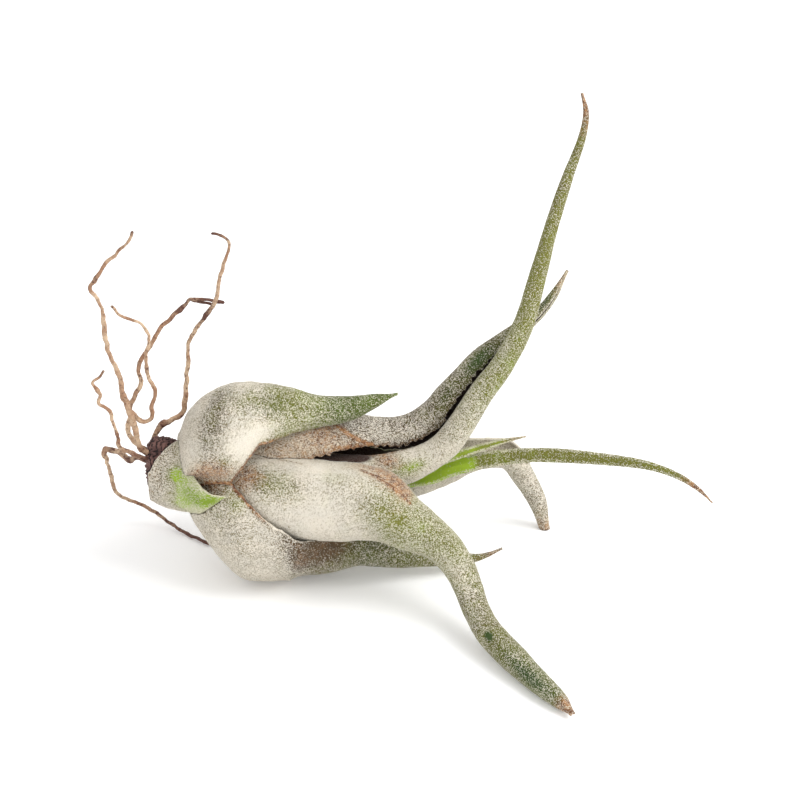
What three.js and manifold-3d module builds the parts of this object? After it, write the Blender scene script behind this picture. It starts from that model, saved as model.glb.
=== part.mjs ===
// An air plant lying on its side: a bulb of swollen, clasping leaf sheaths on a short woody stem,
// with rolled, tapering blades that twist out of it and wiry roots at its foot.
//
// Millimetres, +Z up. The origin is on the flat spot that the bulb lies on, +X runs from the
// root end to the leaf tips, and -Y is the front, where the lowest and the longest blades reach out.

import * as THREE from "three";
import { mergeVertices } from "three/addons/utils/BufferGeometryUtils.js";
import Module from "manifold-3d";

// Driving dimensions
const CLEARANCE = 0.3; // kept between neighbouring pieces
const MARGIN_WALL = 0.7; // thickness of a leaf at its two margins
const RING_SPACING = 4.6; // between the sections along a leaf
const BROAD = 5; // a leaf whose roll has a larger radius than this gets more facets across
const FACETS = { broad: 10, narrow: 8 };
const SMOOTHING = 0.03; // how far a cut's slivers may be evened out
const LEAST_HOLLOW = 0.12; // radius of the roll's inside where the wall would fill it, as a share
const TANGENT_REACH = 0.6; // how many rows to each side the direction of a leaf is averaged over
const ROOT_SIDES = 6;
const STEPS_PER_ROOT_POINT = 2;
const FULL_TURN = 2 * Math.PI;
const PLANT_AXIS = new THREE.Vector3(1, 0, 0);
const FRONT = new THREE.Vector3(0, -1, 0);
const MERGE_TOLERANCE = 1e-4;
// A section stands upright across the plant between the second x and the third. Before the first
// and after the fourth it stands square to the leaf, and it turns from one to the other between.
const UPRIGHT_SHEATH = [-101, -100, 4, 22];
const WIDEST_WRAP = 174; // degrees, so that a rolled leaf's two margins never meet

// Each leaf is a rolled sheet, and `green` is how green it is. A row of `rows` is one section:
// [x, y, z, radius, facing, wrap, wall]. x, y, z is the middle of the roll and radius its outer
// radius. facing says where the back of the leaf looks: 0 is front, 90 up, 180 rear and 270 down.
// wrap is how far the leaf reaches round to each side of its back, in degrees, and wall its
// thickness along the midrib. Rows run from the stem to the tip.
const LEAVES = {
  leaf_1_bract: {
    green: 0.45,
    upright: [-101, -100, 100, 101],
    rows: [
      [-27.0, -0.5, 29.4, 8.4, 342, 40, 0.9],
      [-25.2, -0.8, 29.2, 9.0, 334, 70, 1.1],
      [-22.6, -1.3, 28.9, 9.5, 330, 97, 1.3],
      [-19.6, -1.9, 28.9, 9.8, 329, 114, 1.4],
      [-17.4, -4.0, 29.2, 9.3, 330, 88, 1.4],
      [-15.0, -6.6, 29.3, 8.4, 333, 62, 1.3],
      [-12.4, -10.4, 29.3, 5.3, 335, 50, 1.1],
      [-9.9, -13.3, 29.7, 2.5, 335, 46, 0.8],
      [-7.4, -15.4, 30.1, 0.5, 335, 40, 0.5],
    ],
  },
  leaf_2_top: {
    green: 0.3,
    rows: [
      [-20.0, -1.0, 31.8, 6.6, 80, 140, 1.4],
      [-17.8, -2.0, 34.2, 9.9, 80, 130, 1.6],
      [-14.5, -2.8, 36.4, 12.2, 80, 118, 1.8],
      [-11.0, -3.4, 38.0, 13.3, 80, 113, 2.0],
      [-7.0, -3.4, 39.2, 13.8, 80, 112, 2.0],
      [-3.2, -3, 41.0, 12.4, 80, 96, 2.0],
      [1.0, -2, 43.2, 9.6, 80, 88, 2.2],
      [7.9, -0.8, 45.5, 6.0, 80, 118, 2.4],
      [15.3, 0, 45.2, 4.0, 80, 145, 2.4],
      [22.2, 0, 46.0, 3.1, 80, 150, 2.0],
      [28.9, 0, 48.2, 1.8, 80, 140, 1.2],
      [34.5, 0, 50.1, 0.4, 80, 120, 0.4],
    ],
  },
  leaf_3_front: {
    green: 0.25,
    rows: [
      [-14.0, 0, 29.0, 5.4, 20, 125, 1.4],
      [-8.0, -3, 27.0, 8.6, 20, 125, 1.6],
      [0.0, -5.2, 24.2, 11.0, 25, 122, 1.8],
      [9.0, -7, 24.3, 10.6, 25, 122, 2.0],
      [18.0, -9, 24.6, 9.9, 28, 128, 2.4],
      [28.8, -11.6, 25.4, 9.4, 30, 132, 2.8],
      [36.2, -14.5, 21.7, 6.6, 35, 145, 3.2],
      [41.1, -16.5, 19.9, 5.5, 35, 152, 3.1],
      [45.4, -19, 18.0, 4.6, 35, 156, 3.1],
      [49.1, -22.4, 14.5, 3.9, 35, 160, 3.0],
      [51.6, -26.4, 10.5, 3.5, 40, 162, 2.8],
      [53.3, -30.4, 7.6, 3.4, 50, 162, 2.7],
      [56.2, -37, 5.3, 3.4, 60, 162, 2.7],
      [60.0, -43, 4.1, 3.4, 65, 162, 2.6],
      [65.2, -50.8, 3.1, 3.1, 70, 160, 2.3],
      [69.9, -57.5, 2.6, 2.6, 70, 158, 1.9],
      [72.7, -61.4, 2.2, 2.0, 70, 155, 1.4],
      [75.4, -65.7, 1.5, 0.7, 70, 130, 0.7],
    ],
  },
  leaf_4_lower: {
    green: 0.25,
    rows: [
      [-19.5, 0, 28.4, 7.0, 280, 140, 1.4],
      [-16.0, -0.5, 24.8, 10.5, 280, 140, 1.6],
      [-9.0, -1, 20.4, 15.8, 278, 138, 1.8],
      [-3.2, -0.6, 18.2, 18.5, 275, 123, 2.0],
      [1.9, -0.6, 18.1, 18.8, 275, 107, 2.0],
      [6.5, -1.0, 17.7, 18.1, 275, 98, 2.0],
      [11.0, -2, 15.8, 16.0, 275, 94, 2.0],
      [17.5, -4, 11.4, 10.4, 280, 110, 2.4],
      [26.3, -4.5, 8.8, 5.4, 290, 150, 2.8],
      [35.0, -4, 7.0, 4.4, 290, 155, 2.8],
      [44.0, -3.5, 5.8, 3.4, 290, 155, 2.4],
      [49.7, -3, 4.4, 2.1, 290, 150, 1.7],
      [53.7, -2.4, 3.8, 1.2, 290, 140, 1.0],
      [57.3, -1.8, 4.5, 0.75, 290, 130, 0.7],
      [60.8, -1.2, 5.9, 0.4, 290, 120, 0.4],
    ],
  },
  leaf_5_twisted: {
    green: 0.3,
    rows: [
      [-10.0, 0.5, 29.6, 4.8, 95, 125, 1.3],
      [-3.0, 2, 31.0, 8.0, 97, 120, 1.5],
      [7.6, 3, 33.6, 9.0, 100, 106, 1.8],
      [20.0, 3.8, 35.0, 7.0, 106, 101, 1.8],
      [25.0, 4.5, 35.3, 5.8, 117, 112, 1.8],
      [30.0, 5.3, 35.2, 4.7, 128, 134, 1.8],
      [34.8, 6.2, 35.1, 4.4, 135, 146, 1.6],
      [38.8, 6.9, 35.9, 4.5, 135, 148, 1.5],
      [44.1, 7.5, 39.9, 4.4, 137, 155, 1.4],
      [48.0, 7.4, 46.1, 3.9, 141, 156, 1.3],
      [51.8, 8.3, 50.5, 3.6, 147, 156, 1.2],
      [55.5, 9.4, 54.4, 3.3, 153, 155, 1.1],
      [59.3, 10.6, 57.4, 2.8, 157, 153, 1.1],
      [64.4, 12.7, 61.1, 2.1, 158, 158, 1.1],
      [69.3, 14.9, 64.5, 1.5, 158, 168, 1.0],
      [73.0, 16, 69.3, 1.1, 158, 172, 0.8],
      [76.2, 17, 75.4, 0.4, 158, 172, 0.4],
    ],
  },
  leaf_6_tall: {
    green: 0.45,
    rows: [
      [-6.0, 0, 29.4, 3.8, 330, 120, 1.2],
      [3.0, -0.5, 28.9, 5.4, 345, 112, 1.4],
      [16.0, 0, 27.9, 5.2, 350, 110, 1.5],
      [28.8, -1.1, 28.1, 5.0, 350, 112, 1.8],
      [36.7, -1, 30.0, 4.3, 342, 128, 2.2],
      [40.7, -0.7, 31.6, 3.9, 335, 142, 2.5],
      [45.7, -0.2, 35.0, 3.6, 330, 154, 2.6],
      [49.4, 0.4, 39.8, 3.4, 333, 158, 2.5],
      [55.4, 2, 49.9, 3.1, 338, 161, 2.4],
      [59.9, 3.4, 55.9, 2.9, 340, 162, 2.3],
      [65.1, 6, 66.1, 2.5, 345, 162, 2.0],
      [68.6, 11, 77.0, 2.1, 350, 162, 1.7],
      [72.2, 16, 89.2, 1.75, 350, 160, 1.4],
      [75.7, 21, 98.6, 1.4, 350, 158, 1.1],
      [79.3, 25, 108.0, 1.0, 350, 150, 0.8],
      [80.1, 27, 113.4, 0.75, 350, 140, 0.6],
      [79.0, 28, 118.0, 0.35, 350, 120, 0.35],
    ],
  },
  leaf_7_long: {
    green: 0.6,
    rows: [
      [-1.0, 0.1, 29.0, 2.3, 205, 118, 0.9],
      [8.0, 0, 28.5, 2.9, 205, 118, 1.0],
      [18.0, 0.1, 27.9, 3.0, 205, 115, 1.1],
      [27.0, 1.4, 26.2, 3.1, 208, 112, 1.2],
      [35.0, 3, 24.8, 3.2, 210, 105, 1.4],
      [42.5, 3, 25.8, 3.0, 212, 88, 1.7],
      [47.5, 3, 27.3, 2.7, 212, 72, 1.9],
      [57.5, 2, 30.2, 2.5, 212, 62, 1.9],
      [69.0, 0, 32.6, 2.25, 212, 60, 1.75],
      [84.4, -4, 33.9, 1.85, 212, 60, 1.4],
      [96.4, -8, 34.3, 1.4, 212, 60, 1.05],
      [103.7, -10, 32.4, 1.05, 212, 60, 0.8],
      [108.6, -12, 29.8, 0.7, 212, 60, 0.55],
      [111.8, -13, 26.7, 0.3, 212, 60, 0.3],
    ],
  },
  leaf_8_heart: {
    green: 0.7,
    rows: [
      [3.5, 0, 28.8, 0.9, 180, 90, 0.8],
      [8.0, 0, 28.5, 1.1, 180, 90, 0.8],
      [18.0, 0.1, 27.9, 1.2, 180, 90, 0.8],
      [27.0, 1.4, 26.2, 1.2, 180, 90, 0.8],
      [33.0, 2.6, 25.2, 1.0, 185, 90, 0.8],
      [38.5, 2.6, 26.0, 1.0, 190, 85, 0.8],
      [42.5, 2, 28.3, 1.2, 200, 75, 0.9],
      [48.7, 2.2, 31.0, 1.4, 210, 65, 1.1],
      [52.7, 2.8, 32.1, 1.35, 210, 62, 1.0],
      [56.9, 3.5, 33.2, 1.2, 210, 60, 0.9],
      [61.2, 4.2, 34.2, 0.9, 210, 60, 0.7],
      [66.4, 4.8, 35.1, 0.35, 210, 60, 0.35],
    ],
  },
  leaf_9_rear: {
    green: 0.15,
    rows: [
      [-17.0, 1, 28.2, 6.4, 200, 125, 1.4],
      [-10.5, 4.5, 25.4, 10.8, 205, 122, 1.6],
      [-1.0, 9, 21.6, 15.4, 210, 118, 1.8],
      [10.0, 11.5, 20.4, 15.0, 215, 118, 2.0],
      [24.8, 12, 20.4, 10.6, 225, 120, 2.0],
      [37.5, 13, 21.3, 7.8, 235, 112, 2.0],
      [47.7, 14, 22.8, 5.8, 247, 110, 2.0],
      [55.9, 16, 23.6, 4.3, 258, 122, 2.0],
      [62.7, 17.9, 21.8, 3.7, 272, 148, 1.8],
      [67.2, 19, 14.2, 3.0, 282, 166, 1.6],
      [70.7, 18.7, 7.0, 2.3, 285, 170, 1.3],
      [72.6, 17.4, -0.4, 1.4, 285, 170, 1.0],
    ],
  },
};

// Which leaf keeps its shape where two would meet, from the outermost to the innermost.
const OUTER_FIRST = [
  "leaf_1_bract",
  "leaf_2_top",
  "leaf_4_lower",
  "leaf_9_rear",
  "leaf_3_front",
  "leaf_5_twisted",
  "leaf_6_tall",
  "leaf_7_long",
  "leaf_8_heart",
];

// The woody stem, as [x, radius] along its axis, from the root end to the heart of the plant.
const STEM_AXIS = { y: 0, z: 30.0 };
const STEM_PROFILE = [
  [-28.0, 0],
  [-27.6, 5.6],
  [-26.4, 7.2],
  [-23.6, 7.3],
  [-18.0, 5.6],
  [-10.0, 4.2],
  [0.0, 2.4],
  [3.0, 0],
];
const STEM_SIDES = 20;

// Each root is a wiry tube through `points`, from the stem to the tip, tapering from thick to thin.
// A root's branches start inside it.
const ROOTS = {
  root_1: [
    {
      thick: 0.74,
      thin: 0.35,
      points: [
        [-25.5, -1.4, 31.5],
        [-26.9, -2, 33.6],
        [-29.4, -3, 37],
        [-30.1, -4, 42.7],
        [-31.1, -5, 48],
        [-32.4, -5, 52.8],
        [-33.1, -5, 58.1],
        [-35, -6, 64.5],
        [-35.7, -7, 70.2],
        [-35.8, -8, 76.5],
        [-36.6, -9, 81],
        [-38.3, -10, 84.6],
        [-36.7, -10, 87.1],
        [-34.5, -9, 90.3],
        [-31.3, -8, 93.3],
        [-28.2, -8, 96.9],
        [-27.6, -8, 98.9],
      ],
    },
    {
      thick: 0.55,
      thin: 0.35,
      points: [
        [-31.2, -5, 48.5],
        [-30, -3.8, 46.7],
        [-29.5, -2.8, 44.9],
        [-28.1, -2.4, 43.6],
        [-26.1, -2.4, 44.8],
        [-25.7, -2.4, 48.2],
        [-24.8, -2.4, 52],
        [-26.3, -3, 56.9],
        [-26.5, -4, 62.7],
        [-25.4, -4.6, 67.7],
        [-26.8, -4.6, 71.8],
        [-31.7, -4.4, 74.2],
        [-34.3, -4, 76.7],
      ],
    },
  ],
  root_2: [
    {
      thick: 0.65,
      thin: 0.4,
      points: [
        [-25.5, 1, 31.5],
        [-27.4, 1, 33],
        [-30.9, 1, 35.8],
        [-32.3, 1, 38.7],
        [-32.4, 1, 40.7],
        [-31.5, 1, 43.6],
        [-31.7, 1, 45.8],
        [-30.3, 1, 48.7],
        [-28.5, 1, 52.9],
        [-29.1, 1, 56.4],
        [-27.7, 1, 60],
        [-25.4, 1, 63.6],
        [-23.3, 2, 67.3],
        [-20.2, 3, 70],
        [-16.9, 4, 73],
        [-15.9, 4.4, 74],
        [-13.6, 5.4, 73.5],
        [-7.6, 6.4, 72.2],
      ],
    },
    {
      thick: 0.4,
      thin: 0.35,
      points: [
        [-15.6, 4.5, 73.8],
        [-13.4, 6.2, 72.3],
        [-10, 7.4, 70.9],
      ],
    },
  ],
  root_3: [
    {
      thick: 0.7,
      thin: 0.35,
      points: [
        [-25.6, 2.4, 31],
        [-26.4, 3, 32.4],
        [-26.1, 4, 35.5],
        [-24.3, 5, 38.3],
        [-21.6, 5, 39.8],
        [-19.3, 6, 41],
        [-18.3, 6, 45.2],
        [-17.9, 6, 50.6],
        [-17.1, 6, 56.6],
        [-17.1, 6, 60.2],
        [-14.9, 5, 65.4],
        [-11.5, 3, 71.2],
        [-9.2, 1, 76.2],
        [-8.4, 0, 81.4],
        [-7.3, 0, 85.4],
        [-6.2, 0, 88.7],
        [-5.7, 0, 91.6],
        [-7.1, 0, 93.2],
        [-10, 0, 94],
      ],
    },
  ],
  root_4: [
    {
      thick: 0.6,
      thin: 0.3,
      points: [
        [-25.5, -2.4, 31],
        [-27.1, -3, 33],
        [-30.9, -5, 36],
        [-34.2, -6, 39.1],
        [-34.1, -6, 40.8],
        [-34.9, -7, 45.7],
        [-35.7, -7, 49.5],
        [-38.1, -8, 52.2],
        [-37.6, -8, 54.5],
        [-39.2, -8, 57.8],
        [-37.5, -7, 58.9],
        [-36.4, -7, 60.7],
      ],
    },
  ],
  root_5: [
    {
      thick: 0.65,
      thin: 0.4,
      points: [
        [-25.5, 0, 29.6],
        [-27.5, 0, 30.6],
        [-30.5, 1, 31.5],
        [-32.4, 2, 30],
        [-34.8, 3.4, 31],
        [-38.2, 5, 31.2],
        [-39.3, 6, 29.8],
        [-38.9, 8.4, 25.4],
        [-38.4, 11.4, 19.2],
        [-38.2, 14, 14.2],
        [-37.4, 16.6, 10.6],
        [-34.8, 18.6, 7.8],
        [-31.2, 19.6, 5.2],
        [-28, 18.8, 3.4],
        [-24.6, 17, 1.7],
        [-21.1, 14.4, 0.8],
        [-17.4, 11.5, 0.6],
        [-13.8, 8.6, 0.6],
      ],
    },
  ],
};

// A leaf's colour lies between `leaf` and `bright`, by its `green`.
const COLOURS = {
  leaf: new THREE.Color(0.62, 0.62, 0.54),
  bright: new THREE.Color(0.42, 0.56, 0.2),
  stem: new THREE.Color(0.27, 0.19, 0.18),
  root: new THREE.Color(0.58, 0.43, 0.3),
};
const ROUGHNESS = { leaf: 0.85, stem: 0.9, root: 0.8 };

const wasm = await Module();
wasm.setup();

// A closed BufferGeometry as a manifold-3d solid.
function solidFrom(geometry) {
  const bare = geometry.clone();
  bare.deleteAttribute("normal");
  bare.deleteAttribute("uv");
  const merged = mergeVertices(bare, MERGE_TOLERANCE);
  return new wasm.Manifold(
    new wasm.Mesh({
      numProp: 3,
      vertProperties: merged.attributes.position.array,
      triVerts: new Uint32Array(merged.index.array),
    }),
  );
}

// A manifold-3d solid as a BufferGeometry.
function geometryFrom(solid) {
  const mesh = solid.getMesh();
  const geometry = new THREE.BufferGeometry();
  geometry.setAttribute("position", new THREE.BufferAttribute(mesh.vertProperties, 3));
  geometry.setIndex(new THREE.BufferAttribute(mesh.triVerts, 1));
  geometry.computeVertexNormals();
  return geometry;
}

// A closed skin through rings of points: each ring is a closed loop, and the two ends get caps.
function skin(rings, endCap) {
  const count = rings[0].length;
  const positions = rings.flat().flatMap((p) => [p.x, p.y, p.z]);
  const index = [];
  for (let i = 0; i + 1 < rings.length; i++) {
    for (let j = 0; j < count; j++) {
      const next = (j + 1) % count;
      const a = i * count + j;
      const b = i * count + next;
      index.push(a, b, b + count, a, b + count, a + count);
    }
  }
  const last = (rings.length - 1) * count;
  for (const [a, b, c] of endCap(count)) {
    index.push(c, b, a);
    index.push(last + a, last + b, last + c);
  }
  const geometry = new THREE.BufferGeometry();
  geometry.setAttribute("position", new THREE.Float32BufferAttribute(positions, 3));
  geometry.setIndex(index);
  return geometry;
}

// The end of a rolled sheet: a strip between the outer half of the loop and the inner half.
function stripCap(count) {
  const faces = [];
  for (let j = 0; j < count / 2 - 1; j++) {
    const across = count - 1 - j;
    faces.push([j, j + 1, across - 1], [j, across - 1, across]);
  }
  return faces;
}

// The end of a tube: a fan.
function fanCap(count) {
  return Array.from({ length: count - 2 }, (_, j) => [0, j + 1, j + 2]);
}

// One column of a leaf's rows at a place between them, on a smooth curve that never overshoots.
function smoothValue(values, place) {
  const i = Math.min(Math.floor(place), values.length - 2);
  const t = place - i;
  const slope = (k) => {
    if (k <= 0 || k >= values.length - 1) return 0;
    const before = values[k] - values[k - 1];
    const after = values[k + 1] - values[k];
    return before * after <= 0 ? 0 : (2 * before * after) / (before + after);
  };
  const h = t * t * (3 - 2 * t);
  const start = t * (1 - t) * (1 - t) * slope(i);
  const end = t * t * (1 - t) * slope(i + 1);
  return values[i] * (1 - h) + values[i + 1] * h + start - end;
}

// The rings of a rolled leaf, each grown outwards by `grow` on every side.
function leafRings({ rows, upright = UPRIGHT_SHEATH }, grow) {
  const curve = new THREE.CatmullRomCurve3(rows.map(([x, y, z]) => new THREE.Vector3(x, y, z)));
  const column = (k, place) => smoothValue(rows.map((row) => row[k]), place);
  const spans = rows.length - 1;
  const ringCount = Math.round(curve.getLength() / RING_SPACING);
  const facets = Math.max(...rows.map((row) => row[3])) > BROAD ? FACETS.broad : FACETS.narrow;
  const rings = [];
  for (let i = 0; i <= ringCount; i++) {
    const share = curve.getUtoTmapping(i / ringCount);
    const place = share * spans;
    const reach = TANGENT_REACH / spans;
    const from = curve.getPoint(Math.max(0, share - reach));
    const middle = curve.getPoint(share);
    const rise = THREE.MathUtils.smoothstep(middle.x, upright[0], upright[1]);
    const follow = 1 - rise * (1 - THREE.MathUtils.smoothstep(middle.x, upright[2], upright[3]));
    const along = curve.getPoint(Math.min(1, share + reach)).sub(from).normalize();
    along.multiplyScalar(follow).addScaledVector(PLANT_AXIS, 1 - follow).normalize();
    if (i === 0) middle.addScaledVector(along, -grow);
    if (i === ringCount) middle.addScaledVector(along, grow);
    const ahead = FRONT.clone().addScaledVector(along, -FRONT.dot(along)).normalize();
    const above = ahead.clone().cross(along);
    const [radius, facing, wrap, wall] = [3, 4, 5, 6].map((k) => column(k, place));
    const turn = THREE.MathUtils.degToRad(facing);
    const back = ahead.clone().multiplyScalar(Math.cos(turn)).addScaledVector(above, Math.sin(turn));
    const side = along.clone().cross(back);
    const outer = radius + grow;
    const extra = THREE.MathUtils.radToDeg(grow / radius);
    const half = THREE.MathUtils.degToRad(Math.min(WIDEST_WRAP, wrap + extra));
    const outside = [];
    const inside = [];
    for (let j = 0; j <= facets; j++) {
      const across = (2 * j) / facets - 1;
      const angle = half * across;
      const thin = Math.min(MARGIN_WALL, wall);
      const thick = thin + (wall - thin) * (1 - across * across);
      const inner = Math.max(radius - thick - grow, LEAST_HOLLOW * radius);
      const ray = back.clone().multiplyScalar(Math.cos(angle)).addScaledVector(side, Math.sin(angle));
      outside.push(middle.clone().addScaledVector(ray, outer));
      inside.unshift(middle.clone().addScaledVector(ray, inner));
    }
    rings.push([...outside, ...inside]);
  }
  return rings;
}

function leafSolid(leaf, grow) {
  return solidFrom(skin(leafRings(leaf, grow), stripCap));
}

// The stem, turned about its axis, grown outwards by `grow`.
function stemSolid(grow) {
  const profile = STEM_PROFILE.map(([x, radius], i) => {
    const end = i === 0 ? -grow : i === STEM_PROFILE.length - 1 ? grow : 0;
    return new THREE.Vector2(radius === 0 ? 0 : radius + grow, x + end);
  });
  const geometry = new THREE.LatheGeometry(profile, STEM_SIDES);
  geometry.rotateZ(-Math.PI / 2);
  geometry.translate(0, STEM_AXIS.y, STEM_AXIS.z);
  return solidFrom(geometry);
}

function rootStrandSolid({ points, thick, thin }) {
  const curve = new THREE.CatmullRomCurve3(points.map((p) => new THREE.Vector3(...p)));
  const steps = (points.length - 1) * STEPS_PER_ROOT_POINT;
  const rings = [];
  let side = FRONT;
  for (let i = 0; i <= steps; i++) {
    const share = i / steps;
    const along = curve.getTangent(share);
    side = side.clone().addScaledVector(along, -side.dot(along)).normalize();
    const other = along.clone().cross(side);
    const radius = THREE.MathUtils.lerp(thick, thin, share);
    const ring = [];
    for (let j = 0; j < ROOT_SIDES; j++) {
      const angle = (j / ROOT_SIDES) * FULL_TURN;
      const ray = side.clone().multiplyScalar(Math.cos(angle)).addScaledVector(other, Math.sin(angle));
      ring.push(curve.getPoint(share).addScaledVector(ray, radius));
    }
    rings.push(ring);
  }
  return solidFrom(skin(rings, fanCap));
}

// The largest of a solid's separate bodies: a cut can leave scraps beside it.
function largestBody(solid) {
  return solid.decompose().reduce((a, b) => (a.volume() >= b.volume() ? a : b));
}

// The space under the surface that the plant lies on.
const GROUND_SIZE = 400;
const ground = solidFrom(
  new THREE.BoxGeometry(GROUND_SIZE, GROUND_SIZE, GROUND_SIZE).translate(0, 0, -GROUND_SIZE / 2),
);

const plant = new THREE.Group();

function addPiece(name, solid, colour, roughness) {
  const material = new THREE.MeshStandardMaterial({ color: colour, roughness, metalness: 0 });
  const mesh = new THREE.Mesh(geometryFrom(solid), material);
  mesh.name = name;
  plant.add(mesh);
}

addPiece("stem", stemSolid(0), COLOURS.stem, ROUGHNESS.stem);

const taken = [stemSolid(CLEARANCE), ground];
for (const name of OUTER_FIRST) {
  const leaf = LEAVES[name];
  const cut = taken.reduce((solid, other) => solid.subtract(other), leafSolid(leaf, 0));
  const colour = COLOURS.leaf.clone().lerp(COLOURS.bright, leaf.green);
  addPiece(name, largestBody(cut).simplify(SMOOTHING), colour, ROUGHNESS.leaf);
  taken.push(leafSolid(leaf, CLEARANCE));
}

for (const [name, strands] of Object.entries(ROOTS)) {
  const joined = strands.map(rootStrandSolid).reduce((a, b) => a.add(b));
  const clear = taken.reduce((solid, other) => solid.subtract(other), joined);
  addPiece(name, largestBody(clear).simplify(SMOOTHING), COLOURS.root, ROUGHNESS.root);
}

export default plant;
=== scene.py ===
"""An air plant lying on its side: swollen, clasping leaf sheaths with rolled blades, a short woody
stem and wiry roots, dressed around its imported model.

The plant's own data is in millimetres, in the model's frame: +X from the roots to the leaf tips,
-Y to the front, +Z up from the surface. Blender's objects are in metres.
"""

import itertools
import math

import bmesh
import bpy
import numpy as np
from mathutils import Matrix, Vector


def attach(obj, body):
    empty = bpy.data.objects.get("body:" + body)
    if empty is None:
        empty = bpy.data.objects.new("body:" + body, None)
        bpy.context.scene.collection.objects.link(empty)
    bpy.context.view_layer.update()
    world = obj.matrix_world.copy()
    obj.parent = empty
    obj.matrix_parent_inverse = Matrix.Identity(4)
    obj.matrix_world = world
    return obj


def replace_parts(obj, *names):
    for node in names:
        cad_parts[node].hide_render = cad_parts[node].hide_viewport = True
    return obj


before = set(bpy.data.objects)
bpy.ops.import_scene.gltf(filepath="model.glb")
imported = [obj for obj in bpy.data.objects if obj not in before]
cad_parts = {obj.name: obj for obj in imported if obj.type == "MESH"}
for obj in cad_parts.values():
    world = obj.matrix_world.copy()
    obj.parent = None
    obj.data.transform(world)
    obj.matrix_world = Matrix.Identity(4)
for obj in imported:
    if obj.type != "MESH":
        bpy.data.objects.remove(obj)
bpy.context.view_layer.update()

MM = 0.001
BODY = "root"

# Leaves, as in the model
MARGIN_WALL = 0.7  # thickness of a leaf at its two margins
LEAST_HOLLOW = 0.12  # radius of the roll's inside where the wall would fill it, as a share
TANGENT_REACH = 0.6  # how many rows to each side the direction of a leaf is averaged over
WIDEST_WRAP = 174  # degrees
UPRIGHT_SHEATH = (-101, -100, 4, 22)
PLANT_AXIS = np.array([1.0, 0.0, 0.0])
FRONT = np.array([0.0, -1.0, 0.0])

# Fineness of the surfaces
OPEN_LEAVES = ("leaf_7_long", "leaf_8_heart")  # whose inner face shows
LEAF_SPACING = 0.5  # between the sections along a leaf
BROAD = 5.0  # a leaf whose roll has a larger radius than this gets more points across
POINTS_ACROSS = {"broad": 112, "narrow": 56}
MARGIN_STEPS = 3  # points round each half of a margin's edge
WIDEST_EDGE = 0.2  # how much of a narrow leaf's half the points round its margin may take
CURVE_STEPS = 40  # for each point of a curve, to measure it with
ROOT_SPACING = 0.3
ROOT_SIDES = 14
STEM_SPACING = 0.16
STEM_SIDES = {"plain": 40, "fine": 220}

# Seeded noise. Each leaf and root has its own seed, and its parts add theirs to it
SEED_STEP = 100
ROOT_SEED = 2000
STEM_SEED = 701
QUICK_SEED = 50
FLAKE_SEED = 70
STRAND_SEED = 20
WANDER_SEED = 5
WAVE_COUNT = 14  # added up in a noise
WAVE_SPREAD = (0.6, 1.6)  # of how short the waves in a noise are
WAVE_LEVEL = 0.6

# Shapes of the skins
PRESSED = 0.06  # gap between leaves that are pressed together
SLOW_SWAY = (16.0, 0.22)  # length and height of a leaf's own waves
QUICK_SWAY = (4.5, 0.07)
FULL_SWAY = 6.0  # a roll of a smaller radius than this sways less
TOOTH_LENGTH = 2.6
SMALL_TOOTH = (1.0, 0.6)  # length, and size beside a tooth's
TEETH_FADE = 4.0  # distance over which a ragged margin turns smooth, to each side of its end
FLAKES_PER_MM2 = 8.0
FLAKE_SIZE = 0.125
FLAKE_SIZES = (0.65, 1.35)  # smallest and largest beside that size
FLAKE_REAR = 0.8  # how far it reaches back beside its size
FLAKE_WIDTH = 0.62  # to each side, beside its size
FLAKE_LIFT = 0.09
FLAKE_LIFTS = (0.4, 1.5)
FLAKE_ROOT = 0.05  # how deep a flake's rear corner sits in the leaf
FLAKE_SIDE_ROOT = 0.3  # how deep its side corners sit, beside the rear one
FLAKE_SCATTER = 0.7  # how far flakes turn away from the plant's axis
LEAST_COVER = 0.06  # share of flakes where the leaf is bare
BROWN_BARE = 0.6  # how far papery brown keeps flakes off, and then the painted hollow shade
HOLLOW_SHADE_BARE = 2
MOST_FLAKES = 48000
ROOT_WANDER = (3.2, 0.12)  # length and height of a root's small bends
ROOT_FLATNESS = 0.10
RIDGE_HEIGHT = 0.05
RIDGE_TWIST = 2.4
ROOT_TWIST = 0.8  # radians
TWIST_SHIFT = 40  # away from the noise that swells the root
LEAST_END = 0.02  # of a strand's rounded ends
ROOT_WAVES = ((9.0, 0.10), (2.2, 0.07), (0.9, 0.07))  # length and height, as a share of the radius
BRACT_PITCH = 1.5  # between the torn edges of the old bracts round the stem
BRACT_STEP = 0.55  # how far each one stands off
STEM_AXIS = np.array([0.0, 0.0, 30.0])
STEM_PROFILE = (  # x and radius of the turned stem
    (-28, 0), (-27.6, 5.6), (-26.4, 7.2), (-23.6, 7.3), (-18, 5.6), (-10, 4.2), (0, 2.4), (3, 0),
)
STEM_TIP = 0.02  # least radius
STEM_ROUNDING = 11  # how many sections the profile's corners are rounded over
STEM_WAVES = (5.0, 1.5, 1.0)  # lengths of the waves in the bracts' edges
STEM_END = (-27.0, -27.9)  # x between which the broken end turns rough
STEM_BREAK = (0.35, 0.2)  # how rough, for the torn waves and the fibres
STEM_SHARP = 0.5  # radius under which the profile isn't rounded
FIBRE_STRETCH = (0.35, 1.0, 1.0)
FIBRE_FINENESS = 1.6
BRACT_TEARS = (0.5, 0.45)  # how far coarse and torn waves move the bracts' edges
BRACT_FRAY = 0.2
BRACT_DEPTH = 0.12  # how far the bark lies inside the turned stem
BRACT_START = (1.0, 4.0)  # radius over which the bracts grow out
BRACT_SHADE = 0.5  # how much of a bract carries painted shade under its neighbour's edge
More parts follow.
